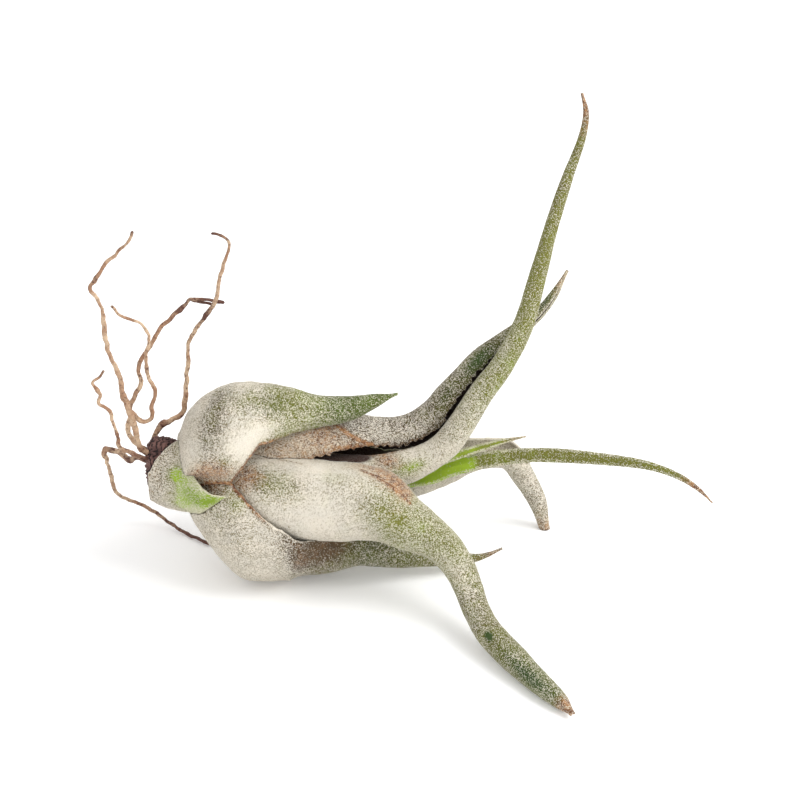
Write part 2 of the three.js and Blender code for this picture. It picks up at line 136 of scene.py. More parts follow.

# Looks
SCALE_SIZE = 0.19  # of the pale scales that cover the leaves
SCALE_RELIEF = 0.12
PALE_RIM = 0.22  # how far a frosted margin reaches
BROWN_RIM = 1.1  # how far a papery margin reaches
RIM_WIDTH = 0.55  # of the paler line along a leaf's margins
ROOT_GRAIN = 0.7
STEM_GRAIN = 0.5
KNOT_SHADE = 0.3  # how much darker a root's knots are
LOOKS = ("scales", "green", "deep", "dry", "brown", "hollow_shade")
FLAKE_LOOKS = ("inside", "scales", "brown", "hollow_shade")  # that decide where flakes grow
NONE = {0: 0}  # a look that a leaf doesn't have


def colour(red, green, blue):
    """A linear colour from its 0 to 255 display values."""
    display = np.array([red, green, blue]) / 255
    linear = np.where(display <= 0.04045, display / 12.92, ((display + 0.055) / 1.055) ** 2.4)
    return (*(float(v) for v in linear), 1.0)


SCALE = {
    "warm": colour(230, 222, 208),
    "cool": colour(223, 217, 205),
    "dull": colour(178, 164, 132),
    "tan": colour(204, 176, 140),
    "green": colour(204, 210, 164),
    "bright": colour(248, 243, 230),
}
TISSUE = {
    "dark": colour(72, 54, 28),
    "olive": colour(106, 106, 34),
    "lime": colour(150, 178, 40),
    "deep": colour(46, 68, 14),
}
LEAF_FINISH = {
    "Roughness": 0.8, "Sheen Weight": 0.4, "Sheen Roughness": 0.3, "Sheen Tint": SCALE["cool"],
}
DEAD = {"dark": colour(96, 58, 36), "light": colour(174, 130, 88)}
HOLLOW_SHADE = colour(58, 36, 28)  # painted shade: the dark of a roll's inner face and of the slits that show it
ROOT_COLOURS = (colour(210, 182, 152), colour(162, 122, 94), colour(90, 54, 42))
STEM_COLOURS = (colour(134, 98, 90), colour(98, 68, 64), colour(46, 30, 30))

# Floor, light and camera. The lamp's place and size are in metres.
GROUND_SIZE = 400.0
FLOOR_SIZE = 3000.0
FLOOR_THICKNESS = 2.0
FLOOR_LEVEL = -0.02
FLOOR_COLOUR = colour(250, 250, 250)
FLOOR_GLOW = 0.11
SKY_COLOUR = colour(255, 255, 255)
SKY_STRENGTH = 0.97
LAMP_PLACE = (0.75, -0.2, 0.8)
LAMP_SIZE = 0.7
LAMP_POWER = 8.6
AIM = (35.0, 10.4, 42.4)
CAMERA_PLACE = (35.0, -595.8, 392.4)
LENS = 126.0
SENSOR_WIDTH = 36.0

# Each leaf is a rolled sheet, and the outermost comes first. A row is one section: x, y, z of the
# roll's middle, its outer radius, where the leaf's back faces (0 front, 90 up, 180 rear, 270 down),
# how far it wraps to each side of its back, in degrees, and its wall. "upright" gives x where
# sections begin to stand across the plant's axis, and where they turn to follow the leaf.
#
# A look is a profile of {distance along the leaf: value}. "scales" is how much of the leaf the pale
# scales cover, "green" how bright it is under them, "deep" how dark a green, "dry" how far it has
# turned to dead tissue, "lining_shade" how much painted shade darkens its inner face and "pale_rim"
# how frosted its margins are. "rims" are profiles of how papery brown the left and the right margin
# is. A spot is (distance, angle from the back in degrees, length, width), and a line is (its
# (distance, angle) points, width, height). Both then say how much they add to each of LOOKS, of
# which "brown" is papery, in leaf_2's fold partly painted shade, and "hollow_shade" is painted shade
# as deep in a roll or a slit. A dent is (distance, angle, length, width, height), and "teeth" is
# (first and last distance, size) of a ragged margin.
LEAVES = {}
LEAVES["leaf_1_bract"] = {
    "upright": (-101, -100, 100, 101),
    "rows": [
        (-27, -0.5, 29.4, 8.4, 342, 40, 0.9), (-25.2, -0.8, 29.2, 9, 334, 70, 1.1),
        (-22.6, -1.3, 28.9, 9.5, 330, 97, 1.3), (-19.6, -1.9, 28.9, 9.8, 329, 114, 1.4),
        (-17.4, -4, 29.2, 9.3, 330, 88, 1.4), (-15, -6.6, 29.3, 8.4, 333, 62, 1.3),
        (-12.4, -10.4, 29.3, 5.3, 335, 50, 1.1), (-9.9, -13.3, 29.7, 2.5, 335, 46, 0.8),
        (-7.4, -15.4, 30.1, 0.5, 335, 40, 0.5),
    ],
    "scales": {0: 0.7, 6: 0.76, 14: 0.8, 25: 0.7},
    "green": {0: 0.05, 6: 0.2, 12: 0.8, 25: 1},
    "deep": {0: 0, 8: 0.1, 14: 0.25, 25: 0.25},
    "dry": {0: 0.35, 6: 0.1, 10: 0},
    "spots": [
        (7.4, -58, 1.8, 1.8, -0.4, 1), (10.5, -40, 3, 2.4, -0.24, 0.8, 0.15),
        (15, -26, 3.6, 2.2, -0.34, 0.7, 0.15), (20.5, -18, 3.8, 1.7, -0.7, 1, 0.2),
        (10.5, -22, 3.6, 2.8, -0.26, 0.7, 0.1), (9, -7, 3, 2.2, -0.22, 0.6), (5, -50, 2.6, 5, -0.12),
    ],
    "pale_rim": {0: 0.5},
    "teeth": (0, 25, 0.1),
}
LEAVES["leaf_2_top"] = {
    "rows": [
        (-20, -1, 31.8, 6.6, 80, 140, 1.4), (-17.8, -2, 34.2, 9.9, 80, 130, 1.6),
        (-14.5, -2.8, 36.4, 12.2, 80, 118, 1.8), (-11, -3.4, 38, 13.3, 80, 113, 2),
        (-7, -3.4, 39.2, 13.8, 80, 112, 2), (-3.2, -3, 41, 12.4, 80, 96, 2),
        (1, -2, 43.2, 9.6, 80, 88, 2.2), (7.9, -0.8, 45.5, 6, 80, 118, 2.4),
        (15.3, 0, 45.2, 4, 80, 145, 2.4), (22.2, 0, 46, 3.1, 80, 150, 2),
        (28.9, 0, 48.2, 1.8, 80, 140, 1.2), (34.5, 0, 50.1, 0.4, 80, 120, 0.4),
    ],
    "scales": {0: 0.86, 8: 0.84, 14: 0.78, 24: 0.8, 30: 0.52, 40: 0.44, 48: 0.26, 61: 0.3},
    "green": {0: 0.1, 24: 0.25, 34: 0.55, 46: 0.6, 61: 0.7},
    "deep": {0: 0, 34: 0.2, 44: 0.6, 61: 0.6},
    "dry": {0: 0.1, 12: 0.05, 60: 0.1},
    "spots": [
        (14.5, -11, 3, 4, -0.26), (12.5, 20, 2.6, 7, -0.34), (9.5, 42, 2.4, 5, -0.24),
        (22, 12, 6, 4, -0.28, 0.1), (28, 30, 6, 3.4, -0.2, 0, 0.25), (19, 62, 5, 4.6, 0.34),
        (24, 68, 6, 2.4, 0.3), (6.5, 58, 3, 5, 0.25), (15.5, 72, 2, 1.4, -0.28, 0.2, 0.3),
        # These two spots are papery brown and bare, partly painted shade in the fold above the margin.
        (8, 84, 4, 3.6, -0.34, 0, 0, 0.8), (12.5, 90, 5.5, 4.4, -0.4, 0, 0, 1),
    ],
    "dents": [(8, 100, 5, 5, -2), (13.5, 106, 4.5, 4, -1.6)],
    "rims": ({0: 0}, {0: 0.8, 8: 1.4, 24: 1.3, 30: 0.5, 36: 0.4, 42: 0}),
    "teeth": (6, 34, 0.3),
}
LEAVES["leaf_4_lower"] = {
    "rows": [
        (-19.5, 0, 28.4, 7, 280, 140, 1.4), (-16, -0.5, 24.8, 10.5, 280, 140, 1.6),
        (-9, -1, 20.4, 15.8, 278, 138, 1.8), (-3.2, -0.6, 18.2, 18.5, 275, 123, 2),
        (1.9, -0.6, 18.1, 18.8, 275, 107, 2), (6.5, -1, 17.7, 18.1, 275, 98, 2),
        (11, -2, 15.8, 16, 275, 94, 2), (17.5, -4, 11.4, 10.4, 280, 110, 2.4),
        (26.3, -4.5, 8.8, 5.4, 290, 150, 2.8), (35, -4, 7, 4.4, 290, 155, 2.8),
        (44, -3.5, 5.8, 3.4, 290, 155, 2.4), (49.7, -3, 4.4, 2.1, 290, 150, 1.7),
        (53.7, -2.4, 3.8, 1.2, 290, 140, 1), (57.3, -1.8, 4.5, 0.75, 290, 130, 0.7),
        (60.8, -1.2, 5.9, 0.4, 290, 120, 0.4),
    ],
    "scales": {0: 0.82, 26: 0.82, 36: 0.66, 44: 0.38, 60: 0.32, 76: 0.24, 88: 0.2},
    "green": {0: 0.1, 30: 0.15, 46: 0.25, 60: 0.3, 76: 0.4, 88: 0.2},
    "deep": {0: 0, 42: 0.1, 52: 0.5, 70: 0.3, 88: 0},
    "dry": {0: 0.15, 30: 0.1, 80: 0.1, 84: 0.5, 88: 0.4},
    "spots": [
        (17.5, -118, 3, 2.6, -0.25, 0.4), (10, -126, 5, 3, -0.35, 0, 0, 0.8),
        (11, -100, 8, 6, -0.2, 0.15), (35, -88, 8, 8, -0.34, -0.25, 0, 0.1), (24, -84, 9, 8, 0.06),
        (43, -100, 5, 5, -0.2, -0.15, 0, 0.1), (36, -72, 4, 4, -0.24, -0.1, 0, 0.15),
    ],
    "rims": ({10: 0, 14: 1.2, 21: 1.2, 27: 0}, {0: 0}),
    "teeth": (10, 40, 0.2),
}
LEAVES["leaf_9_rear"] = {
    "rows": [
        (-17, 1, 28.2, 6.4, 200, 125, 1.4), (-10.5, 4.5, 25.4, 10.8, 205, 122, 1.6),
        (-1, 9, 21.6, 15.4, 210, 118, 1.8), (10, 11.5, 20.4, 15, 215, 118, 2),
        (24.8, 12, 20.4, 10.6, 225, 120, 2), (37.5, 13, 21.3, 7.8, 235, 112, 2),
        (47.7, 14, 22.8, 5.8, 247, 110, 2), (55.9, 16, 23.6, 4.3, 258, 122, 2),
        (62.7, 17.9, 21.8, 3.7, 272, 148, 1.8), (67.2, 19, 14.2, 3, 282, 166, 1.6),
        (70.7, 18.7, 7, 2.3, 285, 170, 1.3), (72.6, 17.4, -0.4, 1.4, 285, 170, 1),
    ],
    "scales": {0: 0.88, 60: 0.8, 84: 0.76, 98: 0.64, 109: 0.56},
    "green": {0: 0.1, 60: 0.2, 109: 0.2},
    "dry": {0: 0.1, 90: 0.1, 103: 0.2, 109: 0.8},
    "spots": [(20, 0, 12, 10, -0.15, 0.2), (34, 30, 9, 6, -0.12, 0.2), (66, -10, 8, 4, -0.15)],
    "teeth": (20, 90, 0.15),
    # Painted shade on the inner face, fading out along the leaf as its roll opens.
    "lining_shade": {0: 1, 44: 0.8, 56: 0.4, 70: 0.15, 84: 0},
}
LEAVES["leaf_3_front"] = {
    "rows": [
        (-14, 0, 29, 5.4, 20, 125, 1.4), (-8, -3, 27, 8.6, 20, 125, 1.6),
        (0, -5.2, 24.2, 11, 25, 122, 1.8), (9, -7, 24.3, 10.6, 25, 122, 2),
        (18, -9, 24.6, 9.9, 28, 128, 2.4), (28.8, -11.6, 25.4, 9.4, 30, 132, 2.8),
        (36.2, -14.5, 21.7, 6.6, 35, 145, 3.2), (41.1, -16.5, 19.9, 5.5, 35, 152, 3.1),
        (45.4, -19, 18, 4.6, 35, 156, 3.1), (49.1, -22.4, 14.5, 3.9, 35, 160, 3),
        (51.6, -26.4, 10.5, 3.5, 40, 162, 2.8), (53.3, -30.4, 7.6, 3.4, 50, 162, 2.7),
        (56.2, -37, 5.3, 3.4, 60, 162, 2.7), (60, -43, 4.1, 3.4, 65, 162, 2.6),
        (65.2, -50.8, 3.1, 3.1, 70, 160, 2.3), (69.9, -57.5, 2.6, 2.6, 70, 158, 1.9),
        (72.7, -61.4, 2.2, 2, 70, 155, 1.4), (75.4, -65.7, 1.5, 0.7, 70, 130, 0.7),
    ],
    "scales": {0: 0.86, 30: 0.88, 44: 0.84, 54: 0.6, 70: 0.5, 82: 0.38, 100: 0.36, 126: 0.4},
    "green": {0: 0.1, 40: 0.2, 56: 0.5, 70: 0.45, 82: 0.3, 100: 0.35, 112: 0.5, 126: 0.3},
    "deep": {0: 0, 80: 0, 96: 0.3, 112: 0.5, 120: 0.4, 123: 0},
    "dry": {0: 0.1, 40: 0.05, 119: 0.05, 122: 0.9, 126: 1},
    "spots": [
        (21, -24, 7, 4.4, -0.36, 0.3, 0.15), (15, -30, 4, 3, -0.2, 0, 0, 0.3),
        (6, -4, 5, 4, -0.35, 0, 0, 0.8), (12, -30, 4, 5, -0.2, 0, 0, 0.6), (33, -52, 9, 3.6, 0.3),
        (36, -40, 4, 2, -0.18, 0.25, 0.2), (33, 25, 12, 4.6, 0.3),
        (49, 10, 7, 4.4, -0.34, 0.15, 0, 0.15), (62, 2, 7, 3, -0.12, 0.05),
        (94, 32, 1.2, 0.9, -0.5, 0, 1), (110, 35, 9, 1.6, -0.15, 0, 0.4), (76, 40, 12, 2.6, 0.25),
        (42, -80, 4, 4, -0.2, 0, 0, 0.8), (45.5, -64, 3.4, 3.6, -0.3, 0, 0, 1),
        (49.5, -52, 3.2, 3.4, -0.4, 0, 0, 1.2), (20, -66, 10, 3, 0.12, 0, 0, 0.25),
    ],
    "lines": [
        ([(13, -56), (20, -68), (27, -62)], 0.3, -0.15, -0.5, 0, 0, 0.3),
        ([(42, -58), (45.5, -44), (49.5, -36), (53, -36)], 0.35, 0.12, 0, 0, 0, 0, 0.6),
    ],
    "teeth": (8, 60, 0.2),
}
LEAVES["leaf_5_twisted"] = {
    "rows": [
        (-10, 0.5, 29.6, 4.8, 95, 125, 1.3), (-3, 2, 31, 8, 97, 120, 1.5),
        (7.6, 3, 33.6, 9, 100, 106, 1.8), (20, 3.8, 35, 7, 106, 101, 1.8),
        (25, 4.5, 35.3, 5.8, 117, 112, 1.8), (30, 5.3, 35.2, 4.7, 128, 134, 1.8),
        (34.8, 6.2, 35.1, 4.4, 135, 146, 1.6), (38.8, 6.9, 35.9, 4.5, 135, 148, 1.5),
        (44.1, 7.5, 39.9, 4.4, 137, 155, 1.4), (48, 7.4, 46.1, 3.9, 141, 156, 1.3),
        (51.8, 8.3, 50.5, 3.6, 147, 156, 1.2), (55.5, 9.4, 54.4, 3.3, 153, 155, 1.1),
        (59.3, 10.6, 57.4, 2.8, 157, 153, 1.1), (64.4, 12.7, 61.1, 2.1, 158, 158, 1.1),
        (69.3, 14.9, 64.5, 1.5, 158, 168, 1), (73, 16, 69.3, 1.1, 158, 172, 0.8),
        (76.2, 17, 75.4, 0.4, 158, 172, 0.4),
    ],
    "scales": {0: 0.66, 30: 0.66, 42: 0.56, 56: 0.5, 76: 0.4, 106: 0.5},
    "green": {0: 0, 40: 0.05, 56: 0.15, 70: 0.2, 92: 0.3, 106: 0.5},
    "deep": {0: 0, 50: 0, 60: 0.2, 74: 0.3, 86: 0.3, 106: 0.1},
    "dry": {0: 0.5, 22: 0.45, 30: 0.1, 98: 0, 104: 0.9},
    "spots": [
        (12, 66, 9, 6, -0.05, 0, 0, 0.3), (22, 72, 7, 5, 0, 0, 0, 0.3),
        (27, 52, 4, 3.4, -0.25, 0, 0, 0.4), (28.5, 92, 4, 5, 0, 0, 0, 0.4),
        (32, 106, 3, 3, -0.1, 0, 0, 0.5), (48, 118, 9, 1.6, 0.15), (64, 110, 4, 2, -0.2, 0, 0.3),
        (75, 118, 5, 2, -0.28, 0, 0.5), (96, 175, 8, 1.4, 0.2, 0, -0.2),
        (97, 110, 6, 1.2, -0.3, 0, 0.5),
    ],
    "lines": [([(29.6, 43), (31.2, 54), (33.6, 80), (35.6, 97), (38, 114)], 0.4, 0.3, 0, 0, 0, 0, 0.8)],
    "rims": ({0: 0}, {0: 0.3, 20: 0.2, 34: 0.7, 46: 0.5, 60: 0.3, 80: 0}),
    "teeth": (23, 90, 0.5),
    # Painted shade on the whole inner face.
    "lining_shade": {0: 1},
}
LEAVES["leaf_6_tall"] = {
    "rows": [
        (-6, 0, 29.4, 3.8, 330, 120, 1.2), (3, -0.5, 28.9, 5.4, 345, 112, 1.4),
        (16, 0, 27.9, 5.2, 350, 110, 1.5), (28.8, -1.1, 28.1, 5, 350, 112, 1.8),
        (36.7, -1, 30, 4.3, 342, 128, 2.2), (40.7, -0.7, 31.6, 3.9, 335, 142, 2.5),
        (45.7, -0.2, 35, 3.6, 330, 154, 2.6), (49.4, 0.4, 39.8, 3.4, 333, 158, 2.5),
        (55.4, 2, 49.9, 3.1, 338, 161, 2.4), (59.9, 3.4, 55.9, 2.9, 340, 162, 2.3),
        (65.1, 6, 66.1, 2.5, 345, 162, 2), (68.6, 11, 77, 2.1, 350, 162, 1.7),
        (72.2, 16, 89.2, 1.75, 350, 160, 1.4), (75.7, 21, 98.6, 1.4, 350, 158, 1.1),
        (79.3, 25, 108, 1, 350, 150, 0.8), (80.1, 27, 113.4, 0.75, 350, 140, 0.6),
        (79, 28, 118, 0.35, 350, 120, 0.35),
    ],
    "scales": {0: 0.8, 50: 0.86, 60: 0.72, 76: 0.46, 90: 0.34, 110: 0.28, 130: 0.28, 150: 0.3},
    "green": {0: 0.1, 46: 0.2, 60: 0.3, 76: 0.5, 96: 0.5, 108: 0.5, 124: 0.4, 150: 0.3},
    "dry": {0: 0.1, 50: 0.05, 60: 0, 136: 0.05, 145: 0.8, 150: 1},
    "spots": [
        # The spots at 30 and 24 mm paint shade on the outer face: the dark slit under leaf_5's margin.
        (46, -46, 2.4, 1.4, -0.3, 0.4), (43, -36, 4, 2.6, -0.26, 0.4, 0.1),
        (39, -76, 4, 2.4, -0.35, 0, 0, 0.9), (30, -92, 4, 1.6, 0, 0, 0, 0, 0, 1.4),
        (24, -80, 4, 1.4, 0, 0, 0, 0, 0, 1.4), (76, 6, 7, 1.8, -0.1, 0.1), (84, -60, 6, 1.6, 0.15),
    ],
    "rims": ({10: 0.9, 42: 0.9, 50: 0.3, 58: 0}, {0: 0}),
    "teeth": (30, 70, 0.12),
    # Painted shade on the whole inner face.
    "lining_shade": {0: 1},
}
LEAVES["leaf_7_long"] = {
    "rows": [
        (-1, 0.1, 29, 2.3, 205, 118, 0.9), (8, 0, 28.5, 2.9, 205, 118, 1),
        (18, 0.1, 27.9, 3, 205, 115, 1.1), (27, 1.4, 26.2, 3.1, 208, 112, 1.2),
        (35, 3, 24.8, 3.2, 210, 105, 1.4), (42.5, 3, 25.8, 3, 212, 88, 1.7),
        (47.5, 3, 27.3, 2.7, 212, 72, 1.9), (57.5, 2, 30.2, 2.5, 212, 62, 1.9),
        (69, 0, 32.6, 2.25, 212, 60, 1.75), (84.4, -4, 33.9, 1.85, 212, 60, 1.4),
        (96.4, -8, 34.3, 1.4, 212, 60, 1.05), (103.7, -10, 32.4, 1.05, 212, 60, 0.8),
        (108.6, -12, 29.8, 0.7, 212, 60, 0.55), (111.8, -13, 26.7, 0.3, 212, 60, 0.3),
    ],
    "scales": {0: -0.1, 52: -0.05, 55.5: 0.24, 66: 0.24, 80: 0.2, 104: 0.16, 119: 0.1},
    "green": {0: 1, 53: 1.1, 57: 0.6, 80: 0.5, 104: 0.45, 119: 0.2},
    "dry": {0: 0, 107: 0.05, 112: 0.8, 119: 0.9},
    "pale_rim": {0: 0.5, 56: 0.2, 70: 0, 119: 0},
    "teeth": (40, 100, 0.06),
}
LEAVES["leaf_8_heart"] = {
    "rows": [
        (3.5, 0, 28.8, 0.9, 180, 90, 0.8), (8, 0, 28.5, 1.1, 180, 90, 0.8),
        (18, 0.1, 27.9, 1.2, 180, 90, 0.8), (27, 1.4, 26.2, 1.2, 180, 90, 0.8),
        (33, 2.6, 25.2, 1, 185, 90, 0.8), (38.5, 2.6, 26, 1, 190, 85, 0.8),
        (42.5, 2, 28.3, 1.2, 200, 75, 0.9), (48.7, 2.2, 31, 1.4, 210, 65, 1.1),
        (52.7, 2.8, 32.1, 1.35, 210, 62, 1), (56.9, 3.5, 33.2, 1.2, 210, 60, 0.9),
        (61.2, 4.2, 34.2, 0.9, 210, 60, 0.7), (66.4, 4.8, 35.1, 0.35, 210, 60, 0.35),
    ],
    "scales": {0: -0.1, 44: -0.05, 48: 0.02, 58: 0.06, 66: 0.08},
    "green": {0: 1, 44: 0.85, 54: 0.7, 60: 0.6, 66: 0.4},
    "dry": {0: 0, 52: 0.05, 60: 0.3, 64: 0.6, 66: 0.8},
    "pale_rim": {0: 0.4},
    "teeth": (40, 60, 0.05),
}

# A root's strands, the main one first: (radii at the stem and at the tip), [route], how dark it is
# as a profile of {share of its length: value}, and its knots, each a swelling of (share of its
# length, length in millimetres, how much thicker).
ROOTS = {}
ROOTS["root_1"] = [
    (
        (0.74, 0.35),
        [
            (-25.5, -1.4, 31.5), (-26.9, -2, 33.6), (-29.4, -3, 37), (-30.1, -4, 42.7), (-31.1, -5, 48),
            (-32.4, -5, 52.8), (-33.1, -5, 58.1), (-35, -6, 64.5), (-35.7, -7, 70.2), (-35.8, -8, 76.5),
            (-36.6, -9, 81), (-38.3, -10, 84.6), (-36.7, -10, 87.1), (-34.5, -9, 90.3),
            (-31.3, -8, 93.3), (-28.2, -8, 96.9), (-27.6, -8, 98.9),
        ],
        {0: 0.75, 0.06: 0.25, 0.14: 0, 0.7: 0, 0.78: 0.2, 0.9: 0, 0.97: 0.1, 1: 0.7},
        [(0.3, 1.4, 0.35), (0.79, 1, 0.3)],
    ),
    (
        (0.55, 0.35),
        [
            (-31.2, -5, 48.5), (-30, -3.8, 46.7), (-29.5, -2.8, 44.9), (-28.1, -2.4, 43.6),
            (-26.1, -2.4, 44.8), (-25.7, -2.4, 48.2), (-24.8, -2.4, 52), (-26.3, -3, 56.9),
            (-26.5, -4, 62.7), (-25.4, -4.6, 67.7), (-26.8, -4.6, 71.8), (-31.7, -4.4, 74.2),
            (-34.3, -4, 76.7),
        ],
        {0: 0.1, 0.3: 0, 0.5: 0.25, 0.7: 0.1, 0.95: 0, 1: 0.5},
        [(0.52, 1, 0.3)],
    ),
]
ROOTS["root_2"] = [
    (
        (0.65, 0.4),
        [
            (-25.5, 1, 31.5), (-27.4, 1, 33), (-30.9, 1, 35.8), (-32.3, 1, 38.7), (-32.4, 1, 40.7),
            (-31.5, 1, 43.6), (-31.7, 1, 45.8), (-30.3, 1, 48.7), (-28.5, 1, 52.9), (-29.1, 1, 56.4),
            (-27.7, 1, 60), (-25.4, 1, 63.6), (-23.3, 2, 67.3), (-20.2, 3, 70), (-16.9, 4, 73),
            (-15.9, 4.4, 74), (-13.6, 5.4, 73.5), (-7.6, 6.4, 72.2),
        ],
        {0: 0.75, 0.1: 0.2, 0.3: 0.1, 0.45: 0.35, 0.7: 0.2, 0.85: 0.6, 1: 1},
        [(0.8, 1.4, 0.4)],
    ),
    (
        (0.4, 0.35),
        [(-15.6, 4.5, 73.8), (-13.4, 6.2, 72.3), (-10, 7.4, 70.9)],
        {0: 0.7, 1: 1},
        [],
    ),
]
ROOTS["root_3"] = [
    (
        (0.7, 0.35),
        [
            (-25.6, 2.4, 31), (-26.4, 3, 32.4), (-26.1, 4, 35.5), (-24.3, 5, 38.3), (-21.6, 5, 39.8),
            (-19.3, 6, 41), (-18.3, 6, 45.2), (-17.9, 6, 50.6), (-17.1, 6, 56.6), (-17.1, 6, 60.2),
            (-14.9, 5, 65.4), (-11.5, 3, 71.2), (-9.2, 1, 76.2), (-8.4, 0, 81.4), (-7.3, 0, 85.4),
            (-6.2, 0, 88.7), (-5.7, 0, 91.6), (-7.1, 0, 93.2), (-10, 0, 94),
        ],
        {0: 0.7, 0.1: 0.3, 0.2: 0.1, 0.55: 0.3, 0.62: 0.6, 0.7: 0.3, 0.9: 0.1, 1: 0.9},
        [(0.12, 1, 0.3), (0.62, 1.2, 0.3)],
    ),
]
ROOTS["root_4"] = [
    (
        (0.6, 0.3),
        [
            (-25.5, -2.4, 31), (-27.1, -3, 33), (-30.9, -5, 36), (-34.2, -6, 39.1), (-34.1, -6, 40.8),
            (-34.9, -7, 45.7), (-35.7, -7, 49.5), (-38.1, -8, 52.2), (-37.6, -8, 54.5),
            (-39.2, -8, 57.8), (-37.5, -7, 58.9), (-36.4, -7, 60.7),
        ],
        {0: 0.9, 0.2: 0.5, 0.4: 0.3, 0.6: 0.1, 0.8: -0.2, 1: 0.6},
        [(0.82, 0.8, 0.5)],
    ),
]
ROOTS["root_5"] = [
    (
        (0.65, 0.4),
        [
            (-25.5, 0, 29.6), (-27.5, 0, 30.6), (-30.5, 1, 31.5), (-32.4, 2, 30), (-34.8, 3.4, 31),
            (-38.2, 5, 31.2), (-39.3, 6, 29.8), (-38.9, 8.4, 25.4), (-38.4, 11.4, 19.2),
            (-38.2, 14, 14.2), (-37.4, 16.6, 10.6), (-34.8, 18.6, 7.8), (-31.2, 19.6, 5.2),
            (-28, 18.8, 3.4), (-24.6, 17, 1.7), (-21.1, 14.4, 0.8), (-17.4, 11.5, 0.6),
            (-13.8, 8.6, 0.6),
        ],
        {0: 0.8, 0.1: 0.5, 0.2: 0.3, 0.4: 0.1, 0.7: 0.3, 0.85: 0.7, 1: 0.9},
        [(0.12, 0.9, 0.3), (0.2, 1, 0.3)],
    ),
]


def smoothstep(x, low, high):
    t = np.clip((x - low) / (high - low), 0.0, 1.0)
    return t * t * (3.0 - 2.0 * t)


def unit(vectors):
    return vectors / np.linalg.norm(vectors, axis=-1, keepdims=True)


def turned(first, second, angle):
    """Directions at an angle from first towards second."""
    return first * np.cos(angle)[..., None] + second * np.sin(angle)[..., None]


def rounded(share):
    """Height of a rounded edge, from 0 at its end to 1 where share reaches 1."""
    return np.sqrt(np.clip(1 - (1 - share) ** 2, 0, 1))


def fading(distance):
    return np.exp(-(distance**2))


def curve_points(points, places):
    """Points of the centripetal Catmull-Rom curve through points, at places from 0 to 1."""
    points = np.asarray(points, float)
    spans = len(points) - 1
    padded = np.vstack([2 * points[0] - points[1], points, 2 * points[-1] - points[-2]])
    place = np.clip(places, 0.0, 1.0) * spans
    i = np.minimum(place.astype(int), spans - 1)
    t = (place - i)[:, None]
    p0, p1, p2, p3 = (padded[i + k] for k in range(4))
    pairs = ((p0, p1), (p1, p2), (p2, p3))
    d0, d1, d2 = (np.sqrt(np.linalg.norm(b - a, axis=1))[:, None] for a, b in pairs)
    leave = ((p1 - p0) / d0 - (p2 - p0) / (d0 + d1) + (p2 - p1) / d1) * d1
    arrive = ((p2 - p1) / d1 - (p3 - p1) / (d1 + d2) + (p3 - p2) / d2) * d1
    cubic = 2 * p1 - 2 * p2 + leave + arrive
    square = 3 * p2 - 3 * p1 - 2 * leave - arrive
    return ((cubic * t + square) * t + leave) * t + p1


def lengths_along(points):
    """How far each point lies along the line through all of them."""
    steps = np.linalg.norm(np.diff(points, axis=0), axis=1)
    return np.concatenate([[0.0], np.cumsum(steps)])


def even_places(points, spacing, whole):
    """Places from 0 to 1 that lie evenly along the curve, and how far along it each one is. whole
    rounds their number."""
    fine = np.linspace(0.0, 1.0, CURVE_STEPS * len(points))
    travelled = lengths_along(curve_points(points, fine))
    distance = np.linspace(0.0, travelled[-1], int(whole(travelled[-1] / spacing)) + 1)
    return np.interp(distance, travelled, fine), distance


def smooth_values(values, place):
    """A row's column between the rows, on a smooth curve that never overshoots."""
    values = np.asarray(values, float)
    steps = np.diff(values)
    slopes = np.zeros(len(values))
    before, after = steps[:-1], steps[1:]
    same_way = before * after > 0
    slopes[1:-1][same_way] = (2 * before * after)[same_way] / (before + after)[same_way]
    i = np.minimum(place.astype(int), len(values) - 2)
    t = place - i
    h = t * t * (3 - 2 * t)
    ends = values[i] * (1 - h) + values[i + 1] * h
    return ends + t * (1 - t) ** 2 * slopes[i] - t * t * (1 - t) * slopes[i + 1]


def stations(leaf):
    """The leaf's sections, evenly spaced along it: a dict of one array for each measure."""
    rows = np.asarray(leaf["rows"], float)
    centre = rows[:, :3]
    spans = len(rows) - 1
    places, distance = even_places(centre, LEAF_SPACING, round)
    reach = TANGENT_REACH / spans
    middle = curve_points(centre, places)
    along = unit(curve_points(centre, places + reach) - curve_points(centre, places - reach))
    upright = leaf.get("upright", UPRIGHT_SHEATH)
    rise = smoothstep(middle[:, 0], upright[0], upright[1])
    follow = 1 - rise * (1 - smoothstep(middle[:, 0], upright[2], upright[3]))
    along = unit(along * follow[:, None] + PLANT_AXIS * (1 - follow)[:, None])
    ahead = unit(FRONT - along * (along @ FRONT)[:, None])
    above = np.cross(ahead, along)
    radius, facing, wrap, wall = (smooth_values(rows[:, k], places * spans) for k in (3, 4, 5, 6))
    back = turned(ahead, above, np.radians(facing))
    return {
        "middle": middle,
        "along": along,
        "back": back,
        "side": np.cross(along, back),
        "radius": radius,
        "half": np.radians(np.minimum(WIDEST_WRAP, wrap)),
        "wall": wall,
        "distance": distance,
    }


class Waves:
    """A sum of waves in random directions: a smooth field from about -1 to 1 at any point."""

    def __init__(self, seed, length):
        draw = np.random.default_rng(seed)
        self.vectors = unit(draw.normal(size=(WAVE_COUNT, 3)))
        self.vectors = self.vectors * draw.uniform(*WAVE_SPREAD, (WAVE_COUNT, 1))
        self.vectors *= 2 * math.pi / length
        self.phases = draw.uniform(0, 2 * math.pi, WAVE_COUNT)
        self.level = math.sqrt(2.0 / WAVE_COUNT)

    def at(self, points):
        return np.sin(points @ self.vectors.T + self.phases).sum(axis=-1) * self.level * WAVE_LEVEL


def profile(values, distance):
    return np.interp(distance, list(values), list(values.values()))


